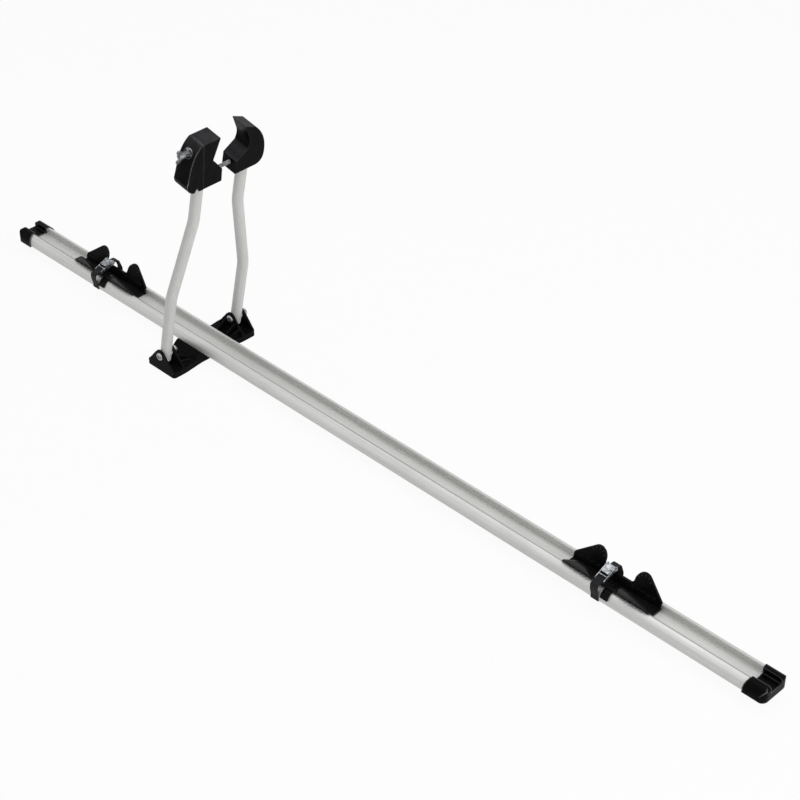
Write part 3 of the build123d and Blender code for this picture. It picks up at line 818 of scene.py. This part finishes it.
def frame_at(origin: Vector, up: Vector) -> Matrix:
    """Frame whose X runs out to the near side and whose Y runs up.

    Args:
        origin: Its origin, in metres.
        up: The way that its Y runs.

    Returns:
        The frame, in metres.
    """
    out = Vector((0.0, -1.0, 0.0))
    frame = Matrix((out, up, out.cross(up))).transposed().to_4x4()
    frame.translation = origin
    return frame


def across_arms(height: float) -> Matrix:
    """Frame on the leaning arms: X out to the near side, Y up the arms.

    Args:
        height: Height along the arms from their pivot, in millimetres.

    Returns:
        The frame, in metres.
    """
    up = Vector((math.sin(LEAN), 0.0, math.cos(LEAN)))
    return frame_at(Vector((0.0, 0.0, PIVOT_HEIGHT * MM)) + up * height * MM, up)


# Sub-assemblies


@dataclass
class RailAndFoot:
    """The extruded rail with its caps, on the moulded foot.

    Each step of dome is a height on the bolt's head and its share of the head's
    radius. Each step of roll is a distance from the nut's end and how far the rolled
    collar lies inside its full radius there.
    """

    nodes: dict[str, bpy.types.Object]
    ear_outer: float = 81.8
    ear_inner: float = 58.2
    grip: float = 23.6
    facets: int = 36
    shank_radius: float = 4.0
    shank_chamfer: float = 0.5
    head_radius: float = 6.3
    head_height: float = 2.6
    head_top_share: float = 0.62
    dome: tuple[tuple[float, float], ...] = ((0.0, 1.0), (0.7, 1.0), (1.4, 0.95), (2.1, 0.82))
    socket_radius: float = 2.9
    socket_depth: float = 1.7
    nut_height: float = 6.5
    nut_width: float = 13.0
    nut_round: float = 0.5
    collar: float = 1.8
    collar_inset: float = 0.6
    collar_root: float = 1.0
    collar_sunk: float = 0.4
    roll: tuple[tuple[float, float], ...] = ((0.0, 1.2), (0.7, 0.4))
    rim: float = 0.3
    ring_play: float = 0.1
    ring_width: float = 1.0
    ring_depth: float = 1.0
    ring_inset: float = 0.2

    def build(self, steel: bpy.types.Material, nylon: bpy.types.Material) -> None:
        """Dress the CAD nodes and model the pivot bolts.

        Args:
            steel: Finish of the bolts and nuts.
            nylon: Finish of the bushes and of the lock nuts' rings.
        """
        rail = RidgedAluminium("anodised aluminium, extruded")
        dress(self.nodes, ["rail"], rail.build())
        # The caps' lighter edges, brightest on the near side, are a painted highlight
        caps = EdgeHighlitPlastic(
            "polypropylene, moulded caps",
            edge_mm=2.2,
            base="#050506",
            bloom="#09090a",
            wear_and_highlight_grey="#77777a",
            roughness=0.26,
            specular=0.03,
            grain_mm=0.6,
            inner_mm=16.0,
            outer_mm=-22.0,
        )
        dress(self.nodes, ["end_cap_near", "end_cap_far"], caps.build())
        foot = MouldedPlastic(
            "glass-filled nylon, moulded foot",
            roughness=0.5,
            specular=0.03,
            grain_mm=0.6,
            grain_depth_mm=0.05,
        )
        dress(self.nodes, ["foot"], foot.build())
        dress(self.nodes, ["rail_bolts", "rail_nuts"], steel)
        dress(self.nodes, ["pivot_nut_near", "pivot_nut_far"], steel)
        dress(self.nodes, ["pivot_bolt_near", "pivot_bolt_far"], steel)
        dress(self.nodes, ["pivot_bush_near", "pivot_bush_far"], nylon)
        for name, head in (("near", -self.ear_outer), ("far", self.ear_inner)):
            bolt = self.socket_bolt(head, f"pivot_bolt_{name}_turned", steel)
            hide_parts(f"pivot_bolt_{name}")
            nut = self.lock_nut(head, f"pivot_nut_{name}_formed", steel)
            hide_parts(f"pivot_nut_{name}")
            self.lock_ring(head, f"pivot_nut_{name}_ring", nylon)

    def bolt_frame(self, head: float) -> Matrix:
        """Frame of a pivot bolt: X out through its head.

        Args:
            head: Y of the head's seat, in millimetres.

        Returns:
            The frame, in metres.
        """
        return frame_at(Vector((0.0, head, PIVOT_HEIGHT)) * MM, Vector((0.0, 0.0, 1.0)))

    def socket_bolt(self, head: float, name: str, steel: bpy.types.Material) -> bpy.types.Object:
        """Model a button-head bolt with a hexagonal socket.

        Args:
            head: Y of the head's seat, in millimetres.
            name: Name of the piece.
            steel: Its finish.

        Returns:
            The bolt.
        """
        tail = -self.grip - self.nut_height
        rings = (
            (tail, self.shank_radius - self.shank_chamfer),
            (tail + self.shank_chamfer, self.shank_radius),
            (0.0, self.shank_radius),
            *((height, share * self.head_radius) for height, share in self.dome),
            (self.head_height, self.head_top_share * self.head_radius),
        )
        bm = bmesh.new()
        revolve(bm, rings, self.facets)
        ends = sorted(
            (edge for edge in bm.edges if edge.is_boundary),
            key=lambda edge: edge.verts[0].co.x,
        )
        low, high = ends[: len(ends) // 2], ends[len(ends) // 2 :]
        bmesh.ops.holes_fill(bm, edges=low, sides=0)
        turn = Matrix.Rotation(math.pi / 2, 4, "Y")
        mouth = Matrix.Translation((self.head_height * MM, 0.0, 0.0)) @ turn
        hexagon = bmesh.ops.create_circle(
            bm, segments=6, radius=self.socket_radius * MM, matrix=mouth
        )
        socket = list({edge for vert in hexagon["verts"] for edge in vert.link_edges})
        bmesh.ops.bridge_loops(bm, edges=high + socket)
        sunk = bmesh.ops.extrude_edge_only(bm, edges=socket)["geom"]
        floor = corners_in(sunk)
        bmesh.ops.translate(bm, verts=floor, vec=(-self.socket_depth * MM, 0.0, 0.0))
        bmesh.ops.holes_fill(bm, edges=edges_among(sunk, floor), sides=0)
        bmesh.ops.transform(bm, verts=bm.verts, matrix=self.bolt_frame(head))
        return make_piece(bm, name, Body.CARRIER, steel, 30.0)

    def lock_nut(self, head: float, name: str, steel: bpy.types.Material) -> bpy.types.Object:
        """Model a lock nut: a hexagon with worn corners and a rolled collar.

        Args:
            head: Y of the bolt's seat, in millimetres.
            name: Name of the piece.
            steel: Its finish.

        Returns:
            The nut.
        """
        seat = -self.grip
        face = seat - self.nut_height
        bm = bmesh.new()
        turn = Matrix.Rotation(math.pi / 2, 4, "Y")
        foot = Matrix.Translation((seat * MM, 0.0, 0.0)) @ turn
        corner_radius = self.nut_width / math.sqrt(3.0) * MM
        outline = bmesh.ops.create_circle(
            bm, cap_ends=True, segments=6, radius=corner_radius, matrix=foot
        )
        base = list({item for vert in outline["verts"] for item in vert.link_faces})
        grown = bmesh.ops.extrude_face_region(bm, geom=base, use_keep_orig=True)["geom"]
        tops = corners_in(grown)
        bmesh.ops.translate(bm, verts=tops, vec=((self.collar - self.nut_height) * MM, 0.0, 0.0))
        rims = {edge for vert in tops for edge in vert.link_edges if edge.other_vert(vert) in tops}
        bmesh.ops.bevel(
            bm,
            geom=list(rims),
            offset=self.nut_round * MM,
            affect="EDGES",
            segments=2,
            profile=0.5,
            material=-1,
        )
        inner = self.shank_radius + self.ring_width
        outer = self.nut_width / 2 - self.collar_inset
        root = seat - self.collar_root
        collar = (
            (root, inner),
            (face + self.rim, inner),
            (face, inner + self.rim),
            *((face + place, outer - inset) for place, inset in self.roll),
            (face + self.collar + self.collar_sunk, outer),
            (root, outer),
        )
        revolve(bm, collar + collar[:1], self.facets)
        bmesh.ops.transform(bm, verts=bm.verts, matrix=self.bolt_frame(head))
        return make_piece(bm, name, Body.CARRIER, steel, 30.0)

    def lock_ring(self, head: float, name: str, nylon: bpy.types.Material) -> bpy.types.Object:
        """Model the nylon ring that shows at a lock nut's end.

        Args:
            head: Y of the bolt's seat, in millimetres.
            name: Name of the piece.
            nylon: Its finish.

        Returns:
            The ring.
        """
        inner = self.shank_radius + self.ring_play
        outer = self.shank_radius + self.ring_width
        face = -self.grip - self.nut_height + self.ring_inset
        shoulder = face + self.ring_inset
        root = face + self.ring_depth
        ring = (
            (root, inner),
            (shoulder, inner),
            (face, inner + self.rim),
            (face, outer - self.rim),
            (shoulder, outer),
            (root, outer),
        )
        bm = bmesh.new()
        revolve(bm, ring + ring[:1], self.facets)
        bmesh.ops.transform(bm, verts=bm.verts, matrix=self.bolt_frame(head))
        return make_piece(bm, name, Body.CARRIER, nylon, 50.0)


@dataclass
class FrameClamp:
    """Two bent tubes with the jaws, tie rod and wing screw at their top.

    Heights run up the arms from their pivot, and places on the screw run out from
    the middle. Each corner of web is a distance from the hub's outer end and from
    its axis.
    """

    nodes: dict[str, bpy.types.Object]
    rod_height: float = 331.8
    rod_reach: float = 58.5
    rod_radius: float = 3.0
    rod_pitch: float = 1.0
    screw_height: float = 384.0
    screw_radius: float = 4.0
    screw_pitch: float = 1.25
    screw_tip: float = 36.0
    tip_chamfer: float = 0.6
    end_overlap: float = 0.3
    thread_in_hub: float = 1.0
    groove_start: float = 44.3
    groove_end: float = 46.5
    groove_radius: float = 2.5
    hub_face: float = 72.9
    hub_length: float = 10.0
    hub_radius: float = 5.0
    hub_round: float = 0.6
    wing_reach: float = 8.2
    wing_radius: float = 3.5
    wing_thickness: float = 2.6
    web: tuple[tuple[float, float], ...] = (
        (-9.2, 0.0),
        (-9.2, 4.2),
        (-6.0, 7.2),
        (-3.4, 9.2),
        (0.0, 8.2),
        (2.2, 5.8),
        (-0.4, 3.2),
        (-1.0, 0.0),
    )
    skin_cell: float = 0.3
    skin_passes: int = 8

    def build(self, steel: bpy.types.Material) -> None:
        """Dress the CAD nodes and model the threads and the wing.

        Args:
            steel: Finish of the rod, nuts and washer.
        """
        tube = AnodisedAluminium(
            "anodised aluminium, drawn tube",
            light="#cfcfcd",
            dark="#c0c0bd",
            roughness=0.44,
            metallic=0.08,
            line_mm=(0.9, 0.9, 180.0),
            lean=LEAN,
        )
        dress(self.nodes, ["arm_near", "arm_far"], tube.build())
        # The jaws' bright edge line is a painted highlight, and their lighter tops are painted top
        # light
        jaws = EdgeHighlitPlastic(
            "glass-filled nylon, moulded jaws",
            edge_mm=1.2,
            wear_and_highlight_grey="#b0b0b3",
            specular=0.02,
            top_light=0.9,
        )
        dress(self.nodes, ["clamp_housing", "clamp_jaw", "far_jaw"], jaws.build())
        dress(
            self.nodes,
            ["tie_rod", "rod_nuts", "screw_nut", "screw_washer", "retainer_plate"],
            steel,
        )
        cast = ZincPlate(
            "die-cast zinc, plated",
            edge_mm=0.3,
            light="#a2a4a6",
            dark="#434649",
            roughness=0.36,
            film_mm=2.4,
            pit_mm=0.4,
            pit_depth_mm=0.03,
        )
        zinc = cast.build()
        dress(self.nodes, ["wing_screw"], zinc)
        rod = self.threaded(
            "tie_rod_thread",
            self.rod_height,
            (-self.rod_reach, self.rod_reach),
            (self.rod_radius, self.rod_pitch),
            Body.ARMS,
            steel,
        )
        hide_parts("tie_rod")
        self.threaded(
            "wing_screw_thread",
            self.screw_height,
            (self.groove_end, self.hub_face + self.thread_in_hub),
            (self.screw_radius, self.screw_pitch),
            Body.SCREW,
            zinc,
        )
        self.screw_end(zinc)
        wing = self.cast_wing(zinc)
        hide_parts("wing_screw")

    def threaded(
        self,
        name: str,
        height: float,
        span: tuple[float, float],
        cut: tuple[float, float],
        body: Body,
        finish: bpy.types.Material,
    ) -> bpy.types.Object:
        """Model a threaded length that runs across the arms.

        Args:
            name: Name of the piece.
            height: Height of its axis along the arms, in millimetres.
            span: Start and end, towards the near side.
            cut: Radius of the crests and pitch.
            body: Body that carries it.
            finish: Its finish.

        Returns:
            The threaded piece.
        """
        bm = bmesh.new()
        cut_thread(bm, *span, *cut)
        bmesh.ops.transform(bm, verts=bm.verts, matrix=across_arms(height))
        return make_piece(bm, name, body, finish, 40.0)

    def screw_end(self, finish: bpy.types.Material) -> bpy.types.Object:
        """Model the plain end of the screw, with the groove for the retainer.

        Args:
            finish: Its finish.

        Returns:
            The plain end.
        """
        radius = self.screw_radius
        root = self.groove_end + self.end_overlap
        profile = (
            (self.screw_tip, 0.0),
            (self.screw_tip, radius - self.tip_chamfer),
            (self.screw_tip + self.tip_chamfer, radius),
            (self.groove_start, radius),
            (self.groove_start, self.groove_radius),
            (root, self.groove_radius),
            (root, 0.0),
        )
        bm = bmesh.new()
        revolve(bm, profile)
        bmesh.ops.transform(bm, verts=bm.verts, matrix=across_arms(self.screw_height))
        return make_piece(bm, "wing_screw_end", Body.SCREW, finish)

    def cast_wing(self, finish: bpy.types.Material) -> bpy.types.Object:
        """Model the hub and both wings as one casting with soft hollows.

        Args:
            finish: Its finish.

        Returns:
            The casting.
        """
        face, radius = self.hub_face, self.hub_radius
        top = face + self.hub_length
        bm = bmesh.new()
        hub = (
            (face, 0.0),
            (face, radius - self.hub_round),
            (face + self.hub_round, radius),
            (top - 1.4, radius - 0.2),
            (top - 0.3, radius - 1.2),
            (top, 0.0),
        )
        revolve(bm, hub, 40)
        for way in (-1.0, 1.0):
            self.add_wing(bm, top, way)
        bmesh.ops.recalc_face_normals(bm, faces=bm.faces)
        bmesh.ops.transform(bm, verts=bm.verts, matrix=across_arms(self.screw_height))
        rough = bpy.data.meshes.new("wing_rough")
        bm.to_mesh(rough)
        bm.free()
        blank = bpy.data.objects.new("wing_blank", rough)
        bpy.context.scene.collection.objects.link(blank)
        # The new skin joins hub and wings, and smoothing it rounds the hollows between
        skin = blank.modifiers.new("skin", "REMESH")
        skin.mode = "VOXEL"
        skin.voxel_size = self.skin_cell * MM
        hollows = blank.modifiers.new("hollows", "SMOOTH")
        hollows.factor = 0.5
        hollows.iterations = self.skin_passes
        evaluated = blank.evaluated_get(bpy.context.evaluated_depsgraph_get())
        cast = bmesh.new()
        cast.from_mesh(evaluated.to_mesh())
        evaluated.to_mesh_clear()
        bpy.data.objects.remove(blank)
        return make_piece(cast, "wing_screw_cast", Body.SCREW, finish, 80.0)

    def add_wing(self, bm: bmesh.types.BMesh, top: float, way: float) -> None:
        """Add one wing: a round ear on a web that widens to the hub.

        Args:
            bm: Mesh that gets it.
            top: Outer end of the hub, in millimetres.
            way: 1 for the wing up the arms, -1 for the other.
        """
        half = self.wing_thickness / 2
        ear = Matrix.Translation(Vector((top, way * self.wing_reach, -half)) * MM)
        disc = bmesh.ops.create_circle(
            bm, cap_ends=True, segments=32, radius=self.wing_radius * MM, matrix=ear
        )
        corners = [bm.verts.new(Vector((top + x, way * y, -half)) * MM) for x, y in self.web]
        faces = [bm.faces.new(corners)]
        faces += {face for vert in disc["verts"] for face in vert.link_faces}
        for outline in faces:
            grown = bmesh.ops.extrude_face_region(bm, geom=[outline], use_keep_orig=True)["geom"]
            bmesh.ops.translate(
                bm, verts=corners_in(grown), vec=(0.0, 0.0, self.wing_thickness * MM)
            )


@dataclass
class WheelTray:
    """One moulded tray with its webbing strap and cam buckle.

    Heights start at the rail's underside. The walls stand base apart from the middle
    at their seat, lean out by slope and are wall_across thick along Y. The petals
    rise petal_height above the seat to the middle of their round ends.
    """

    nodes: dict[str, bpy.types.Object]
    side: str
    body: Body
    place: float
    seat: float = 17.3
    base: float = 13.6
    slope: float = 0.436
    petal_place: float = 38.0
    petal_height: float = 11.5
    wall_across: float = 2.836
    tick_radius: float = 10.8
    tick_size: tuple[float, float, float] = (1.0, 0.9, 2.8)
    tick_angles: tuple[float, ...] = (-60.0, -30.0, 0.0, 30.0, 60.0)
    lip_size: tuple[float, float, float] = (138.0, 0.9, 0.8)
    lip_out: float = 0.5
    lip_rise: float = 0.9
    floor_rise: float = 10.9
    rib_size: tuple[float, float, float] = (0.9, 15.0, 0.6)
    rib_rise: float = 0.25
    rib_pitch: float = 4.0
    ribs_each_way: int = 7
    strap_offset: float = -7.0
    strap_width: float = 12.5
    strap_thickness: float = 1.2
    strap_edge: float = 0.4
    strap_strips: int = 6

    def build(self, finishes: dict[Slot, bpy.types.Material]) -> None:
        """Dress the CAD nodes, weave the strap and add the moulded marks.

        Args:
            finishes: Finish of each slot.
        """
        side = self.side
        dress(self.nodes, [f"wheel_tray_{side}"], finishes[Slot.MOULDED])
        stamped = [f"buckle_{side}", f"buckle_pin_{side}", f"cam_lever_{side}"]
        dress(self.nodes, stamped, finishes[Slot.ZINC])
        band = self.weave_strap(finishes[Slot.WEBBING])
        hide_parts(f"strap_{side}")
        self.raised_marks()
        self.floor_ribs(finishes[Slot.MOULDED])

    def route(self) -> list[tuple[float, float, float]]:
        """Corners of the strap's closed way round tray and rail.

        Returns:
            Y, height above the rail's underside and bend radius of each corner.
        """
        return [
            (-17.18, 28.38, 5.0),
            (-27.7, 26.0, 3.2),
            (-27.7, 18.0, 5.0),
            (-24.9, 7.0, 6.0),
            (-24.9, -0.9, 2.4),
            (24.9, -0.9, 2.4),
            (24.9, 18.0, 6.0),
            (19.5, 33.5, 4.0),
            (9.67, 34.33, 6.0),
        ]

    def rounded(self, steps: int = 7) -> list[Vector]:
        """Follow the route with its corners rounded.

        Args:
            steps: Points on each bend.

        Returns:
            Points in the carrier's frame, in metres, at the strap's middle.
        """
        corners = [Vector((y, z, r)) for y, z, r in self.route()]
        x = self.place + self.strap_offset
        points = []
        for index, corner in enumerate(corners):
            here = corner.xy
            back = (corners[index - 1].xy - here).normalized()
            ahead = (corners[(index + 1) % len(corners)].xy - here).normalized()
            half = back.angle(ahead) / 2
            reach = corner.z / math.tan(half)
            middle = here + (back + ahead).normalized() * corner.z / math.sin(half)
            first = here + back * reach - middle
            last = here + ahead * reach - middle
            turn = first.angle_signed(last)
            for step in range(steps + 1):
                share = step / steps
                swing = Matrix.Rotation(-turn * share, 2)
                spot = middle + swing @ first
                points.append(Vector((x, spot.x, spot.y + RAIL_UNDERSIDE)) * MM)
        return points

    def weave_strap(self, webbing: bpy.types.Material) -> bpy.types.Object:
        """Model the strap as a closed band with a UV map in metres.

        Args:
            webbing: Its finish.

        Returns:
            The strap.
        """
        points = self.rounded()
        strips = self.strap_strips
        width = self.strap_width * MM
        bm = bmesh.new()
        row = [
            bm.verts.new(points[0] + Vector(((strip / strips - 0.5) * width, 0.0, 0.0)))
            for strip in range(strips + 1)
        ]
        edges = [bm.edges.new(pair) for pair in zip(row, row[1:])]
        along = {vert: (0.0, strip / strips * width) for strip, vert in enumerate(row)}
        travelled = 0.0
        for start, end in zip(points, points[1:] + points[:1]):
            step = end - start
            travelled += step.length
            grown = bmesh.ops.extrude_edge_only(bm, edges=edges)["geom"]
            fresh = corners_in(grown)
            edges = edges_among(grown, fresh)
            bmesh.ops.translate(bm, verts=fresh, vec=step)
            left = points[0].x - width / 2
            along.update({vert: (travelled, vert.co.x - left) for vert in fresh})
        flat = bm.loops.layers.uv.new("band")
        for face in bm.faces:
            for loop in face.loops:
                loop[flat].uv = along[loop.vert]
        bmesh.ops.remove_doubles(bm, verts=bm.verts, dist=WELD)
        band = make_piece(bm, f"strap_{self.side}_woven", self.body, webbing, 60.0)
        thick = band.modifiers.new("thickness", "SOLIDIFY")
        thick.thickness = self.strap_thickness * MM
        thick.offset = 0.0
        selvedge = band.modifiers.new("selvedge", "BEVEL")
        selvedge.width = self.strap_edge * MM
        selvedge.segments = 3
        selvedge.limit_method = "ANGLE"
        selvedge.angle_limit = math.radians(60.0)
        return band

    def raised_marks(self) -> bpy.types.Object:
        """Add the ticks inside the petals and the lip at their foot, in a grey that paints their
        highlight.

        Returns:
            All marks of the tray's walls as one piece.
        """
        # The marks' light grey is a painted highlight on them
        wear_and_highlight = MouldedPlastic(
            f"polypropylene, rubbed marks {self.side}", base="#2c2c2e", bloom="#3c3c3e"
        ).build()
        bm = bmesh.new()
        tilt = math.atan(self.slope)
        foot = RAIL_UNDERSIDE + self.seat
        for way in (-1.0, 1.0):
            face = Matrix.Rotation(-way * tilt, 4, "X")
            for petal in (-self.petal_place, self.petal_place):
                for angle in self.tick_angles:
                    lean = math.radians(angle)
                    along = self.place + petal + self.tick_radius * math.sin(lean)
                    rise = self.petal_height + self.tick_radius * math.cos(lean)
                    across = self.base - self.wall_across + self.slope * rise
                    spot = Vector((along, way * across, foot + rise))
                    place = Matrix.Translation(spot * MM) @ face
                    moulded_rib(bm, self.tick_size, place @ Matrix.Rotation(lean, 4, "Y"))
            lip = Vector((self.place, way * (self.base + self.lip_out), foot + self.lip_rise))
            moulded_rib(bm, self.lip_size, Matrix.Translation(lip * MM))
        return make_piece(bm, f"tray_marks_{self.side}", self.body, wear_and_highlight, 40.0)

    def floor_ribs(self, moulded: bpy.types.Material) -> bpy.types.Object:
        """Add the low ribs across the tray's floor that grip the tyre.

        Args:
            moulded: Their finish.

        Returns:
            All ribs of the tray as one piece.
        """
        bm = bmesh.new()
        height = RAIL_UNDERSIDE + self.floor_rise + self.rib_rise
        for step in range(-self.ribs_each_way, self.ribs_each_way + 1):
            rib = Vector((self.place + self.rib_pitch * step, 0.0, height))
            moulded_rib(bm, self.rib_size, Matrix.Translation(rib * MM))
        return make_piece(bm, f"tray_ribs_{self.side}", self.body, moulded, 40.0)


# Studio


@dataclass
class Studio:
    """Plain pale floor, soft lamps, white surroundings and the camera, in metres."""

    place: tuple[float, float, float] = (1.9488, -1.5432, 1.7508)
    right: tuple[float, float, float] = (0.71092, 0.70327, 0.00125)
    above: tuple[float, float, float] = (-0.4224, 0.42558, 0.80029)
    behind: tuple[float, float, float] = (0.56229, -0.56947, 0.59962)
    lens_mm: float = 88.97
    floor_radius: float = 12.0
    floor_place: tuple[float, float, float] = (0.3, 0.0, -0.0004)
    floor_white: float = 0.93
    ambient: float = 0.34

    def build(self) -> None:
        """Set up everything that isn't the carrier."""
        bpy.context.scene.view_settings.view_transform = "Standard"
        self.camera()
        self.floor()
        self.surroundings()
        self.lamp("overhead", (0.3, 0.2, 2.6), (0.3, 0.0, 0.0), size=3.0, watts=27.0)
        self.lamp("left_window", (-1.4, -2.2, 1.5), (0.2, 0.0, 0.2), size=1.8, watts=6.0)
        self.lamp("right_window", (4.1, 0.4, 1.6), (0.3, 0.0, 0.2), size=2.6, watts=84.0)
        self.lamp("front_fill", (1.5, -1.7, 2.0), (0.2, 0.0, 0.2), size=0.9, watts=5.0)

    def camera(self) -> None:
        """Stand the camera where the photograph was taken from."""
        data = bpy.data.cameras.new("camera")
        data.lens = self.lens_mm
        data.sensor_fit = "HORIZONTAL"
        data.sensor_width = 36.0
        data.clip_start = 0.05
        data.clip_end = 60.0
        holder = bpy.data.objects.new("camera", data)
        axes = (Vector(self.right), Vector(self.above), Vector(self.behind))
        pose = Matrix(axes).transposed().to_4x4()
        pose.translation = Vector(self.place)
        holder.matrix_world = pose
        bpy.context.scene.collection.objects.link(holder)
        bpy.context.scene.camera = holder

    def seen(self, tree: bpy.types.NodeTree) -> bpy.types.NodeSocket:
        """Tell rays that look at the surroundings from rays that light the carrier.

        Args:
            tree: Node tree that gets it.

        Returns:
            1 for a ray that looks, 0 for one that lights.
        """
        path = add_node(tree, "LightPath").outputs
        first = maths(tree, "MAXIMUM", path["Is Camera Ray"], path["Is Glossy Ray"])
        return maths(tree, "MAXIMUM", first, path["Is Transmission Ray"])

    def floor(self) -> None:
        """Lay the floor under the foot. It is almost white and keeps the shadow."""
        bm = bmesh.new()
        bmesh.ops.create_circle(bm, cap_ends=True, segments=96, radius=self.floor_radius)
        bmesh.ops.translate(bm, verts=bm.verts, vec=self.floor_place)
        mesh = bpy.data.meshes.new("floor")
        bm.to_mesh(mesh)
        bm.free()
        material = bpy.data.materials.new("painted floor")
        material.use_nodes = True
        tree = material.node_tree
        tree.nodes.clear()
        paint = add_node(tree, "BsdfDiffuse", {"Color": linear("#f1f1ef")})
        white = add_node(tree, "Emission", {"Color": (1.0, 1.0, 1.0, 1.0), "Strength": 1.0})
        share = maths(tree, "MULTIPLY", self.seen(tree), self.floor_white)
        mixed = add_node(tree, "MixShader", {0: share, 1: paint.outputs[0], 2: white.outputs[0]})
        add_node(tree, "OutputMaterial", {"Surface": mixed.outputs[0]})
        mesh.materials.append(material)
        ground = bpy.data.objects.new("floor", mesh)
        bpy.context.scene.collection.objects.link(ground)

    def surroundings(self) -> None:
        """White for rays that look, a softer level for rays that light."""
        world = bpy.data.worlds.new("studio")
        bpy.context.scene.world = world
        world.use_nodes = True
        tree = world.node_tree
        tree.nodes.clear()
        soft = add_node(tree, "Background", {"Color": linear("#f7f8fa"), "Strength": self.ambient})
        white = add_node(tree, "Background", {"Color": (1.0, 1.0, 1.0, 1.0), "Strength": 1.0})
        share = self.seen(tree)
        mixed = add_node(tree, "MixShader", {0: share, 1: soft.outputs[0], 2: white.outputs[0]})
        add_node(tree, "OutputWorld", {"Surface": mixed.outputs[0]})

    def lamp(
        self,
        name: str,
        place: tuple[float, float, float],
        target: tuple[float, float, float],
        size: float,
        watts: float,
    ) -> None:
        """Hang a soft square lamp.

        Args:
            name: Name of the lamp.
            place: Where it hangs.
            target: What it points at.
            size: Side of its square, in metres.
            watts: Its power.
        """
        data = bpy.data.lights.new(name, "AREA")
        data.shape = "SQUARE"
        data.size = size
        data.energy = watts
        holder = bpy.data.objects.new(name, data)
        holder.location = place
        aim = Vector(target) - Vector(place)
        holder.rotation_euler = aim.to_track_quat("-Z", "Y").to_euler()
        bpy.context.scene.collection.objects.link(holder)


def shared_finishes() -> dict[Slot, bpy.types.Material]:
    """Make the finishes that more than one piece of a sub-assembly wears.

    Returns:
        The finish of each slot.
    """
    trays = MouldedPlastic(
        "polypropylene, moulded trays",
        base="#070708",
        bloom="#0d0d0e",
        roughness=0.34,
        specular=0.05,
        grain_mm=0.5,
    )
    nylon = MouldedPlastic(
        "natural nylon, moulded",
        base="#d8d4c6",
        bloom="#cdc8b8",
        wear_and_highlight_grey="#e4e1d6",
        roughness=0.45,
    )
    stamped = ZincPlate(
        "zinc-plated steel, stamped",
        edge_mm=0.25,
        light="#b6b9bc",
        dark="#565a5e",
        film_mm=3.0,
    )
    return {
        Slot.MOULDED: trays.build(),
        Slot.NYLON: nylon.build(),
        Slot.ZINC: stamped.build(),
        Slot.STEEL: ZincPlate("zinc-plated steel, turned").build(),
        Slot.WEBBING: WovenWebbing("polyester webbing, woven").build(),
    }


def main() -> None:
    """Load the frame, dress it, add the modelled pieces and set the studio."""
    logging.basicConfig(level=logging.INFO, format="%(name)s: %(message)s")
    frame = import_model()
    nodes = frame["nodes"]
    finishes = shared_finishes()
    RailAndFoot(nodes).build(finishes[Slot.STEEL], finishes[Slot.NYLON])
    FrameClamp(nodes).build(finishes[Slot.STEEL])
    WheelTray(nodes, "far", Body.TRAY_FAR, -219.0).build(finishes)
    WheelTray(nodes, "near", Body.TRAY_NEAR, 809.0).build(finishes)
    Studio().build()


if __name__ == "__main__":
    main()
